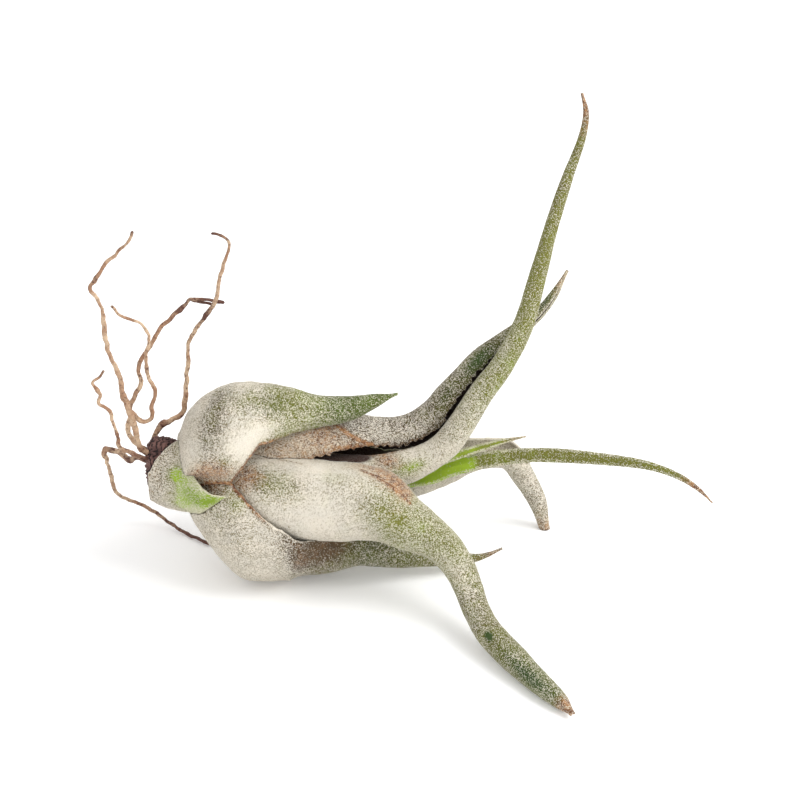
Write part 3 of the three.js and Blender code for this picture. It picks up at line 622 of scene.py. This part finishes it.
def from_line(line, distance, across):
    """How far each point lies from a line of (distance, across) points, in millimetres."""
    nearest = np.full(np.shape(distance), math.inf)
    for (d0, a0), (d1, a1) in zip(line, line[1:]):
        run, rise = d1 - d0, a1 - a0
        share = ((distance - d0) * run + (across - a0) * rise) / (run * run + rise * rise)
        share = np.clip(share, 0.0, 1.0)
        off = np.hypot(distance - d0 - share * run, across - a0 - share * rise)
        nearest = np.minimum(nearest, off)
    return nearest


def spot_strength(spot, distance, angle, radius):
    """1 in the middle of the spot or dent, falling to 0 beyond its length and width."""
    at, around, length, width = spot[:4]
    off = radius * (angle - math.radians(around)) / width
    return np.exp(-(((distance - at) / length) ** 2) - off**2)


def line_strength(line, distance, angle, radius):
    """1 on the line, falling to 0 beyond its width."""
    points, width = line[:2]
    reach = float(np.interp(points[len(points) // 2][0], distance[:, 0], radius[:, 0]))
    flat = [(at, math.radians(around) * reach) for at, around in points]
    return fading(from_line(flat, distance, angle * reach) / width)


def looks(leaf, distance, angle, radius, edge):
    """How much of each look the leaf has at each point."""
    found = {what: profile(leaf.get(what, NONE), distance) for what in LOOKS}
    where = (distance, angle, radius)
    marks = [(spot[4:], spot_strength(spot, *where)) for spot in leaf.get("spots", ())]
    marks += [(line[3:], line_strength(line, *where)) for line in leaf.get("lines", ())]
    for amounts, strength in marks:
        for what, amount in zip(LOOKS, amounts):
            found[what] = found[what] + strength * amount
    pale = profile(leaf.get("pale_rim", NONE), distance)
    found["scales"] = found["scales"] + pale * fading(edge / PALE_RIM)
    rims = [profile(rim, distance) for rim in leaf.get("rims", (NONE, NONE))]
    found["brown"] = found["brown"] + np.where(angle < 0, *rims) * fading(edge / BROWN_RIM)
    return found


def relief(leaf, seed):
    """How far a leaf's skin stands off its smooth shape: slow waves, dents and ridges."""
    slow, quick = Waves(seed, SLOW_SWAY[0]), Waves(seed + QUICK_SEED, QUICK_SWAY[0])

    def height(points, distance, angle, radius):
        soft = np.minimum(1.0, radius / FULL_SWAY)
        off = (slow.at(points) * SLOW_SWAY[1] + quick.at(points) * QUICK_SWAY[1]) * soft
        for dent in leaf.get("dents", ()):
            off = off + spot_strength(dent, distance, angle, radius) * dent[4]
        for line in leaf.get("lines", ()):
            off = off + line_strength(line, distance, angle, radius) * line[2]
        return off

    return height


def ragged(leaf, distance, seed):
    """How far the two margins reach beyond their smooth line, in millimetres."""
    first, last, size = leaf["teeth"]
    share = smoothstep(distance, first - TEETH_FADE, first + TEETH_FADE)
    share = share * (1 - smoothstep(distance, last - TEETH_FADE, last + TEETH_FADE))
    points = distance[:, None] * PLANT_AXIS
    coarse = [Waves(seed + k, TOOTH_LENGTH).at(points) for k in (1, 2)]
    fine = [Waves(seed + k, SMALL_TOOTH[0]).at(points) for k in (3, 4)]
    return [(c + SMALL_TOOTH[1] * f) * size * share for c, f in zip(coarse, fine)]


def leaf_points(cut, across, height, reach, grow):
    """Outer and inner points of a leaf's sections, with the angle of each from the leaf's back."""
    radius = cut["radius"][:, None]
    middle = cut["middle"][:, None]
    half = cut["half"][:, None] + grow / radius
    left, right = (half + margin[:, None] / radius for margin in reach)
    angle = np.where(across < 0, left, right) * across
    ray = turned(cut["back"][:, None], cut["side"][:, None], angle)
    thin = np.minimum(MARGIN_WALL, cut["wall"])[:, None]
    thick = thin + (cut["wall"][:, None] - thin) * (1 - across**2)
    from_edge = (1 - np.abs(across)) * half * radius
    rounding = (1 - rounded(np.clip(2 * from_edge / thin, 0, 1))) * thin / 2
    distance = cut["distance"][:, None] + 0 * angle
    off = height(middle + ray * radius[..., None], distance, angle, radius + 0 * angle)
    outer = radius + grow + off - rounding
    inner = np.maximum(radius - thick - grow + off, LEAST_HOLLOW * radius)
    inner = np.minimum(inner + rounding, outer)
    return middle + ray * outer[..., None], middle + ray * inner[..., None], angle


def rolled_faces(rings, count):
    """Quads of a closed skin through rings of count points, with a strip over each end."""
    ring = np.arange(rings - 1)[:, None] * count
    j = np.arange(count)
    after = (j + 1) % count
    walls = np.stack([ring + j, ring + after, ring + count + after, ring + count + j], axis=-1)
    k = np.arange(count // 2 - 1)
    cap = np.stack([k, k + 1, count - 2 - k, count - 1 - k], axis=-1)
    last = (rings - 1) * count
    return np.concatenate([walls.reshape(-1, 4), cap[:, ::-1], cap + last])


def mesh_from(name, points, faces, values=None):
    """A mesh of points in millimetres and faces, with named values for each point."""
    mesh = bpy.data.meshes.new(name)
    mesh.from_pydata(points.tolist(), [], faces.tolist(), shade_flat=False)
    for what, value in (values or {}).items():
        mesh.attributes.new(what, "FLOAT", "POINT").data.foreach_set("value", value.astype(np.float32))
    return mesh


def read(items, what, width, kind=np.float32):
    """A value of each of a mesh's items, as rows of width numbers."""
    found = np.empty(len(items) * width, kind)
    items.foreach_get(what, found)
    return found.reshape(-1, width)


def scratch(name, data):
    thing = bpy.data.objects.new(name, data)
    bpy.context.scene.collection.objects.link(thing)
    return thing


def fine_across(cut, count):
    """Places across the leaf, closer together round each margin's edge."""
    thin = np.minimum(MARGIN_WALL, cut["wall"])
    edge = np.minimum(thin / 2 / (cut["half"] * cut["radius"]), WIDEST_EDGE)[:, None]
    bend = 1 - np.cos(np.linspace(0, math.pi / 2, MARGIN_STEPS + 1)[1:])
    margin = -1 + edge * np.concatenate([[0.0], bend])
    body = (1 - edge) * np.linspace(-1, 1, count)[1:-1]
    return np.concatenate([margin, body, -margin[:, ::-1]], axis=1)


def fine_leaf(name, seed, grow=0.0):
    """The leaf as a closed mesh with its looks, or grown, to cut its neighbours with."""
    leaf = LEAVES[name]
    cut = stations(leaf)
    if grow > 0:
        cut["middle"][0] -= cut["along"][0] * grow
        cut["middle"][-1] += cut["along"][-1] * grow
        cut["half"] = np.minimum(cut["half"], math.radians(WIDEST_WRAP) - grow / cut["radius"])
    across = fine_across(cut, POINTS_ACROSS["broad" if cut["radius"].max() > BROAD else "narrow"])
    teeth = ragged(leaf, cut["distance"], seed)
    outer, inner, angle = leaf_points(cut, across, relief(leaf, seed), teeth, grow)
    rings = np.concatenate([outer, inner[:, ::-1]], axis=1)
    distance = cut["distance"][:, None] + 0 * angle
    radius = cut["radius"][:, None] + 0 * angle
    edge = (1 - np.abs(across)) * cut["half"][:, None] * cut["radius"][:, None]
    front = looks(leaf, distance, angle, radius, edge)
    front.update(edge=edge, inside=0 * angle)
    # The inner face takes the painted lining shade on top of the painted hollow shade.
    lining_shade = front["hollow_shade"] + profile(leaf.get("lining_shade", NONE), distance)
    behind = {**front, "hollow_shade": lining_shade, "inside": 0 * angle + 1}
    values = {
        what: np.concatenate([front[what], behind[what][:, ::-1]], axis=1).ravel() for what in front
    }
    return mesh_from(name, rings.reshape(-1, 3), rolled_faces(len(rings), rings.shape[1]), values)


def combine(thing, others, operation):
    """Takes thing away and returns its mesh, joined with the others or without what they fill."""
    for other in others:
        cut = thing.modifiers.new("cut", "BOOLEAN")
        cut.operation = operation
        cut.solver = "MANIFOLD"
        cut.object = other
    seen = thing.evaluated_get(bpy.context.evaluated_depsgraph_get())
    mesh = bpy.data.meshes.new_from_object(seen)
    old = thing.data
    bpy.data.objects.remove(thing)
    bpy.data.meshes.remove(old)
    return mesh


def largest_part(mesh):
    """Keeps the part of the mesh with the most points."""
    ends = read(mesh.edges, "vertices", 2, np.int32)
    label, before = np.arange(len(mesh.vertices)), None
    while not np.array_equal(label, before):
        before = label.copy()
        low = label[ends].min(axis=1)
        np.minimum.at(label, ends[:, 0], low)
        np.minimum.at(label, ends[:, 1], low)
        label = label[label]
    names, sizes = np.unique(label, return_counts=True)
    if len(names) == 1:
        return
    drop = np.flatnonzero(label != names[sizes.argmax()])
    form = bmesh.new()
    form.from_mesh(mesh)
    form.verts.ensure_lookup_table()
    bmesh.ops.delete(form, geom=[form.verts[int(i)] for i in drop], context="VERTS")
    form.to_mesh(mesh)
    form.free()


def box_mesh(low, high):
    corners = np.array(list(itertools.product(*zip(low, high))))
    sides = [[0, 1, 3, 2], [4, 6, 7, 5], [0, 4, 5, 1], [2, 3, 7, 6], [0, 2, 6, 4], [1, 5, 7, 3]]
    return mesh_from("box", corners, np.array(sides))


class Shader:
    """A material's node tree, with the model's own millimetres as its texture space."""

    def __init__(self, name):
        self.material = bpy.data.materials.new(name)
        self.material.use_nodes = True
        self.tree = self.material.node_tree
        place = self.node("TexCoord").outputs["Object"]
        scale = (1 / MM, 1 / MM, 1 / MM)
        self.place = self.node("VectorMath", {0: place, 1: scale}, operation="MULTIPLY").outputs[0]

    def node(self, kind, inputs=None, **settings):
        made = self.tree.nodes.new("ShaderNode" + kind)
        for what, value in settings.items():
            setattr(made, what, value)
        self.feed(made, inputs or {})
        return made

    def feed(self, node, inputs):
        """Links or sets the node's inputs, each given by its name or number."""
        for which, value in inputs.items():
            if isinstance(value, bpy.types.NodeSocket):
                self.tree.links.new(value, node.inputs[which])
            else:
                node.inputs[which].default_value = value

    def attribute(self, name):
        return self.node("Attribute", attribute_name=name).outputs["Fac"]

    def chain(self, operation, values):
        total = values[0]
        for value in values[1:]:
            total = self.node("Math", {0: total, 1: value}, operation=operation).outputs[0]
        return total

    def sum(self, *values):
        return self.chain("ADD", values)

    def product(self, *values):
        return self.chain("MULTIPLY", values)

    def ramp(self, value, low, high, to_low=0.0, to_high=1.0):
        """value's range low to high, smoothly turned into to_low to to_high."""
        inputs = dict(enumerate((value, low, high, to_low, to_high)))
        return self.node("MapRange", inputs, interpolation_type="SMOOTHSTEP").outputs[0]

    def texture(self, kind, size, **inputs):
        return self.node(kind, {"Vector": self.place, "Scale": 1 / size, **inputs}).outputs

    def noise(self, size, detail=2.0, spread=1.0):
        """Noise of this size in millimetres, from -spread / 2 to spread / 2."""
        noise = self.texture("TexNoise", size, Detail=detail)["Fac"]
        return self.product(self.sum(noise, -0.5), 2 * spread)

    def cells(self, size):
        """Each point's distance from its cell's middle, and its cell's random number."""
        cell = self.texture("TexVoronoi", size)
        return cell["Distance"], self.node("SeparateColor", {0: cell["Color"]}).outputs[0]

    def mix(self, share, low, high):
        inputs = {"Factor": share, 6: low, 7: high}
        return self.node("Mix", inputs, data_type="RGBA").outputs[2]

    def finish(self, base, height=None, depth=0.0, **constants):
        """Sets the base colour, a relief of depth millimetres and the shader's constants."""
        inputs = {"Base Color": base, **constants}
        if height is not None:
            bump = self.node("Bump", {"Distance": depth * MM, "Height": height})
            inputs["Normal"] = bump.outputs[0]
        self.feed(self.tree.nodes["Principled BSDF"], inputs)
        return self.material


def leaf_material():
    """Pale scales over living or dead tissue, from the leaf's values and noise, and painted hollow
    shade.
    """
    shader = Shader("leaf")
    mix, ramp, noise, value = shader.mix, shader.ramp, shader.noise, shader.attribute
    rim = ramp(value("edge"), 0.0, RIM_WIDTH, 1.0, 0.0)
    brown = value("brown")
    bare = shader.product(brown, -0.8)
    uneven = (noise(7.0, 3.0, 0.14), noise(1.2, 2.0, 0.08))
    cover = shader.sum(value("scales"), *uneven, shader.product(rim, 0.3), bare)
    distance, number = shader.cells(SCALE_SIZE)
    threshold = shader.sum(number, shader.product(distance, 0.55), -0.2)
    scaly = ramp(shader.sum(cover, shader.product(threshold, -1.0)), -0.08, 0.12)

    green = shader.sum(value("green"), noise(3.0, 3.0, 0.25))
    tissue = mix(ramp(green, 0.0, 0.5), TISSUE["dark"], TISSUE["olive"])
    tissue = mix(ramp(green, 0.5, 1.0), tissue, TISSUE["lime"])
    tissue = mix(ramp(value("deep"), 0.1, 0.9), tissue, TISSUE["deep"])
    dryness = ramp(shader.sum(value("dry"), brown, noise(2.2, 3.0, 0.3)), 0.1, 0.95)
    dead = mix(ramp(noise(1.1, 3.0), -0.3, 0.35), DEAD["dark"], DEAD["light"])
    tissue = mix(dryness, tissue, dead)
    tissue = mix(ramp(cover, 0.52, 0.95, 0.0, 0.8), tissue, SCALE["dull"])

    cream = mix(ramp(noise(5.0), -0.35, 0.35), SCALE["cool"], SCALE["warm"])
    cream = mix(ramp(green, 0.15, 0.8, 0.0, 0.6), cream, SCALE["green"])
    cream = mix(shader.product(dryness, 0.5), cream, SCALE["tan"])
    cream = mix(ramp(distance, 0.1, 0.75, 0.0, 0.3), cream, SCALE["dull"])
    # Painted shade: where hollow_shade is high the colour turns to the dark of a deep hollow.
    base = mix(ramp(value("hollow_shade"), 0.15, 0.6), mix(scaly, tissue, cream), HOLLOW_SHADE)

    height = shader.sum(scaly, shader.product(distance, -0.7), noise(0.9, 2.0, 0.5))
    return shader.finish(base, height, SCALE_RELIEF, **LEAF_FINISH)


def bark_material(name, colours, grain, darkened):
    """Rough, fibrous bark: light, middle and dark colours, its grain in millimetres, and between
    which values of the grain it darkens."""
    light, middle, dark = colours
    shader = Shader(name)
    mix, ramp = shader.mix, shader.ramp
    # darkening: on the roots their darker tone and knots, on the stem painted shade under the bracts.
    darkening = shader.attribute("darkening")
    fibres = shader.noise(grain, 4.0)
    patches = shader.noise(grain * 6, 3.0)
    base = mix(ramp(patches, -0.3, 0.3), light, middle)
    base = mix(ramp(shader.sum(fibres, shader.product(darkening, 0.5)), *darkened), base, dark)
    base = mix(ramp(darkening, 0.2, 1.0), base, dark)
    height = shader.sum(fibres, shader.product(patches, 0.6))
    return shader.finish(base, height, grain * 0.6, Roughness=0.75)


def in_metres(mesh, material):
    mesh.transform(Matrix.Scale(MM, 4))
    mesh.materials.clear()
    mesh.materials.append(material)
    return mesh


def rider(name, mesh, material):
    """A finished piece, in metres, that moves with the plant."""
    in_metres(mesh, material)
    mesh.polygons.foreach_set("use_smooth", np.full(len(mesh.polygons), True))
    mesh.update()
    thing = scratch(name, mesh)
    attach(thing, BODY)
    return thing


def leaf_scales(name, mesh, seed, both_faces):
    """Small raised scales on a finished leaf: closed, three-sided flakes, denser where the leaf is
    paler. They're on the leaf's outer face, and on its inner one where that shows."""
    draw = np.random.default_rng(seed)
    mesh.calc_loop_triangles()
    corners = read(mesh.loop_triangles, "vertices", 3, np.int32)
    points = read(mesh.vertices, "co", 3).astype(float)[corners]
    normal = np.cross(points[:, 1] - points[:, 0], points[:, 2] - points[:, 0])
    area = np.linalg.norm(normal, axis=1) / 2
    inside, cover, brown, hollow_shade = (
        read(mesh.attributes[what].data, "value", 1)[:, 0] for what in FLAKE_LOOKS
    )
    # Flakes keep off papery brown and off the painted hollow shade.
    bare = brown * BROWN_BARE + hollow_shade * HOLLOW_SHADE_BARE
    inside, cover, bare = (values[corners].mean(axis=1) for values in (inside, cover, bare))
    cover = np.clip(cover, LEAST_COVER, 1.0) * (1 - np.clip(bare, 0, 1))
    wanted = np.where(both_faces | (inside < 0.5), area * cover, 0.0)
    count = int(min(wanted.sum() * FLAKES_PER_MM2, MOST_FLAKES))
    k = draw.choice(len(corners), count, p=wanted / wanted.sum())
    share = np.sqrt(draw.random((count, 1)))
    turn = draw.random((count, 1))
    a, b, c = (points[k, corner] for corner in range(3))
    base = a * (1 - share) + b * share * (1 - turn) + c * share * turn
    normal = unit(normal[k])
    ahead = unit(PLANT_AXIS + draw.normal(0, FLAKE_SCATTER, (count, 3)))
    ahead = unit(ahead - normal * (ahead * normal).sum(axis=1)[:, None])
    beside = np.cross(normal, ahead)
    size = FLAKE_SIZE * draw.uniform(*FLAKE_SIZES, (count, 1))
    lift = FLAKE_LIFT * draw.uniform(*FLAKE_LIFTS, (count, 1))
    rear = base - ahead * size * FLAKE_REAR - normal * FLAKE_ROOT
    left = base + beside * size * FLAKE_WIDTH - normal * FLAKE_ROOT * FLAKE_SIDE_ROOT
    right = base - beside * size * FLAKE_WIDTH - normal * FLAKE_ROOT * FLAKE_SIDE_ROOT
    tip = base + ahead * size + normal * lift
    corners = np.stack([rear, right, tip, left], axis=1).reshape(-1, 3)
    first = np.arange(count)[:, None, None] * 4
    sides = np.array([[0, 1, 2], [0, 2, 3], [0, 3, 1], [1, 3, 2]])
    return mesh_from(name + "_scales", corners, (first + sides).reshape(-1, 3))


def fine_stem(grow=0.0, plain=False):
    """The stem's closed skin: plain to cut with, or with torn bract edges and painted shade under them.
    """
    outline = np.array(STEM_PROFILE)
    travelled = lengths_along(outline)
    place = travelled if plain else np.linspace(0.0, travelled[-1], int(travelled[-1] / STEM_SPACING))
    around = STEM_SIDES["plain" if plain else "fine"]
    x = np.interp(place, travelled, outline[:, 0])
    radius = np.interp(place, travelled, outline[:, 1])
    if not plain:
        window = np.hanning(STEM_ROUNDING) / np.hanning(STEM_ROUNDING).sum()
        inner = np.convolve(np.pad(radius, STEM_ROUNDING // 2, mode="edge"), window, mode="valid")
        radius = np.where(radius > STEM_SHARP, np.minimum(inner, radius), radius)
    angle = np.linspace(0, 2 * math.pi, around, endpoint=False)
    radius = np.maximum(radius, STEM_TIP)[:, None] + grow * (radius > 0)[:, None]
    x[[0, -1]] += (-grow, grow)
    x = x[:, None]
    ray = np.stack([0 * angle, -np.cos(angle), np.sin(angle)], axis=1)
    points = STEM_AXIS + x[..., None] * PLANT_AXIS + ray * radius[..., None]
    dark = np.zeros(points.shape[:2])
    if not plain:
        coarse, torn, fibre = (Waves(STEM_SEED + k, length) for k, length in enumerate(STEM_WAVES))
        stretched = points * FIBRE_STRETCH
        uneven = BRACT_TEARS[0] * coarse.at(points)
        phase = (x + uneven + BRACT_TEARS[1] * torn.at(stretched)) / BRACT_PITCH
        step = phase - np.floor(phase)
        frayed = BRACT_FRAY * np.abs(fibre.at(stretched * FIBRE_FINENESS))
        move = (BRACT_STEP * (step - 1.0) - frayed - BRACT_DEPTH) * smoothstep(radius, *BRACT_START)
        points = points + ray[None] * move[..., None]
        # Painted shade: each bract is darker just under its neighbour's torn edge, kept as darkening.
        dark = 1 - smoothstep(step, 0.0, BRACT_SHADE)
        broken = STEM_BREAK[0] * torn.at(points) + STEM_BREAK[1] * fibre.at(points)
        points[..., 0] += broken * smoothstep(x, *STEM_END)
    faces = rolled_faces(len(points), around)
    return mesh_from("stem", points.reshape(-1, 3), faces, {"darkening": dark.ravel()})


def fine_strand(strand, seed):
    """A root's strand as a closed, shrivelled tube with knots."""
    (thick, thin), route, dark, knots = strand
    places, travelled = even_places(route, ROOT_SPACING, math.floor)
    length = travelled[-1]
    share = travelled / length
    middle = curve_points(route, places)
    along = unit(np.gradient(middle, axis=0))
    side = np.empty_like(along)
    held = FRONT
    for i, way in enumerate(along):
        held = held - way * (held @ way)
        held = held / np.linalg.norm(held)
        side[i] = held
    other = np.cross(along, side)
    slow, quick, fine = (Waves(seed + k, size) for k, (size, _) in enumerate(ROOT_WAVES))
    slow_height, quick_height, fine_height = (height for _, height in ROOT_WAVES)
    thickness = thick + (thin - thick) * travelled / length
    swelling = 1 + slow_height * slow.at(middle) + quick_height * quick.at(middle)
    darkening = np.zeros(len(places))
    for at, size, amount in knots:
        bulge = fading((share - at) * length / size)
        swelling = swelling + amount * bulge
        darkening = darkening + bulge
    end = np.minimum(travelled, length - travelled) / thickness
    rounding = rounded(np.clip(end, LEAST_END, 1))
    angle = np.linspace(0, 2 * math.pi, ROOT_SIDES, endpoint=False)
    twist = ROOT_TWIST * slow.at(middle + TWIST_SHIFT)[:, None]
    flat = ROOT_FLATNESS * np.cos(2 * (angle + twist))
    lobes = 1 - flat + RIDGE_HEIGHT * np.cos(3 * angle + RIDGE_TWIST * twist)
    radius = (thickness * swelling * rounding)[:, None] * lobes
    ray = turned(side[:, None], other[:, None], angle)
    wander = [Waves(seed + WANDER_SEED + k, ROOT_WANDER[0]).at(middle) for k in range(3)]
    drift = np.stack(wander, axis=1) * ROOT_WANDER[1]
    points = (middle + drift)[:, None] + ray * radius[..., None]
    points = points + ray * (fine.at(points) * fine_height * radius)[..., None]
    shade = profile(dark, share)
    shade = np.broadcast_to(shade[:, None] + KNOT_SHADE * darkening[:, None], radius.shape)
    faces = rolled_faces(len(places), ROOT_SIDES)
    return mesh_from("strand", points.reshape(-1, 3), faces, {"darkening": shade.ravel()})


def fine_root(name, seed):
    """All of a root's strands, joined into one skin."""
    skins = [fine_strand(strand, seed + STRAND_SEED * k) for k, strand in enumerate(ROOTS[name])]
    main, *branches = [scratch("strand", skin) for skin in skins]
    mesh = combine(main, branches, "UNION")
    for branch in branches:
        bpy.data.objects.remove(branch)
    return mesh


# The plant
leaf_look = leaf_material()
scale_look = Shader("leaf_scale").finish(SCALE["bright"], Roughness=0.7)
root_look = bark_material("root", ROOT_COLOURS, ROOT_GRAIN, (0.07, 0.6))
stem_look = bark_material("stem", STEM_COLOURS, STEM_GRAIN, (0.0, 0.45))

ground = scratch("ground", box_mesh([-GROUND_SIZE] * 3, (GROUND_SIZE, GROUND_SIZE, 0.0)))
taken = [scratch("stem cutter", fine_stem(grow=PRESSED, plain=True)), ground]
for order, name in enumerate(LEAVES):
    seed = SEED_STEP * (order + 1)
    mesh = combine(scratch("uncut " + name, fine_leaf(name, seed)), taken, "DIFFERENCE")
    largest_part(mesh)
    flakes = leaf_scales(name, mesh, seed + FLAKE_SEED, name in OPEN_LEAVES)
    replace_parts(rider(name + "_skin", mesh, leaf_look), name)
    rider(name + "_scales", flakes, scale_look)
    taken.append(scratch("cutter", fine_leaf(name, seed, PRESSED)))

stem = combine(scratch("uncut stem", fine_stem()), [ground], "DIFFERENCE")
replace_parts(rider("stem_bark", stem, stem_look), "stem")
for order, name in enumerate(ROOTS):
    root = fine_root(name, ROOT_SEED + SEED_STEP * order)
    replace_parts(rider(name + "_skin", root, root_look), name)
for spare in taken:
    bpy.data.objects.remove(spare)

# The floor, light and camera
floor_foot = (-FLOOR_SIZE, -FLOOR_SIZE, -FLOOR_THICKNESS)
floor_mesh = box_mesh(floor_foot, (FLOOR_SIZE, FLOOR_SIZE, FLOOR_LEVEL))
floor_look = {"Roughness": 0.9, "Emission Color": FLOOR_COLOUR, "Emission Strength": FLOOR_GLOW}
in_metres(floor_mesh, Shader("floor").finish(FLOOR_COLOUR, **floor_look))
scratch("floor", floor_mesh)

sky = bpy.data.worlds.new("sky")
sky.use_nodes = True
background = sky.node_tree.nodes["Background"].inputs
background["Color"].default_value = SKY_COLOUR
background["Strength"].default_value = SKY_STRENGTH
bpy.context.scene.world = sky
bpy.context.scene.view_settings.view_transform = "Standard"


def aimed(name, data, place):
    """A lamp or camera at a place in metres, turned to look at the plant."""
    thing = scratch(name, data)
    thing.location = place
    thing.rotation_euler = (Vector(AIM) * MM - Vector(place)).to_track_quat("-Z", "Y").to_euler()
    return thing


lamp = bpy.data.lights.new("key", "AREA")
lamp.size = LAMP_SIZE
lamp.energy = LAMP_POWER
aimed("key", lamp, LAMP_PLACE)

lens = bpy.data.cameras.new("camera")
lens.lens = LENS
lens.sensor_width = SENSOR_WIDTH
bpy.context.scene.camera = aimed("camera", lens, Vector(CAMERA_PLACE) * MM)

bpy.context.view_layer.update()
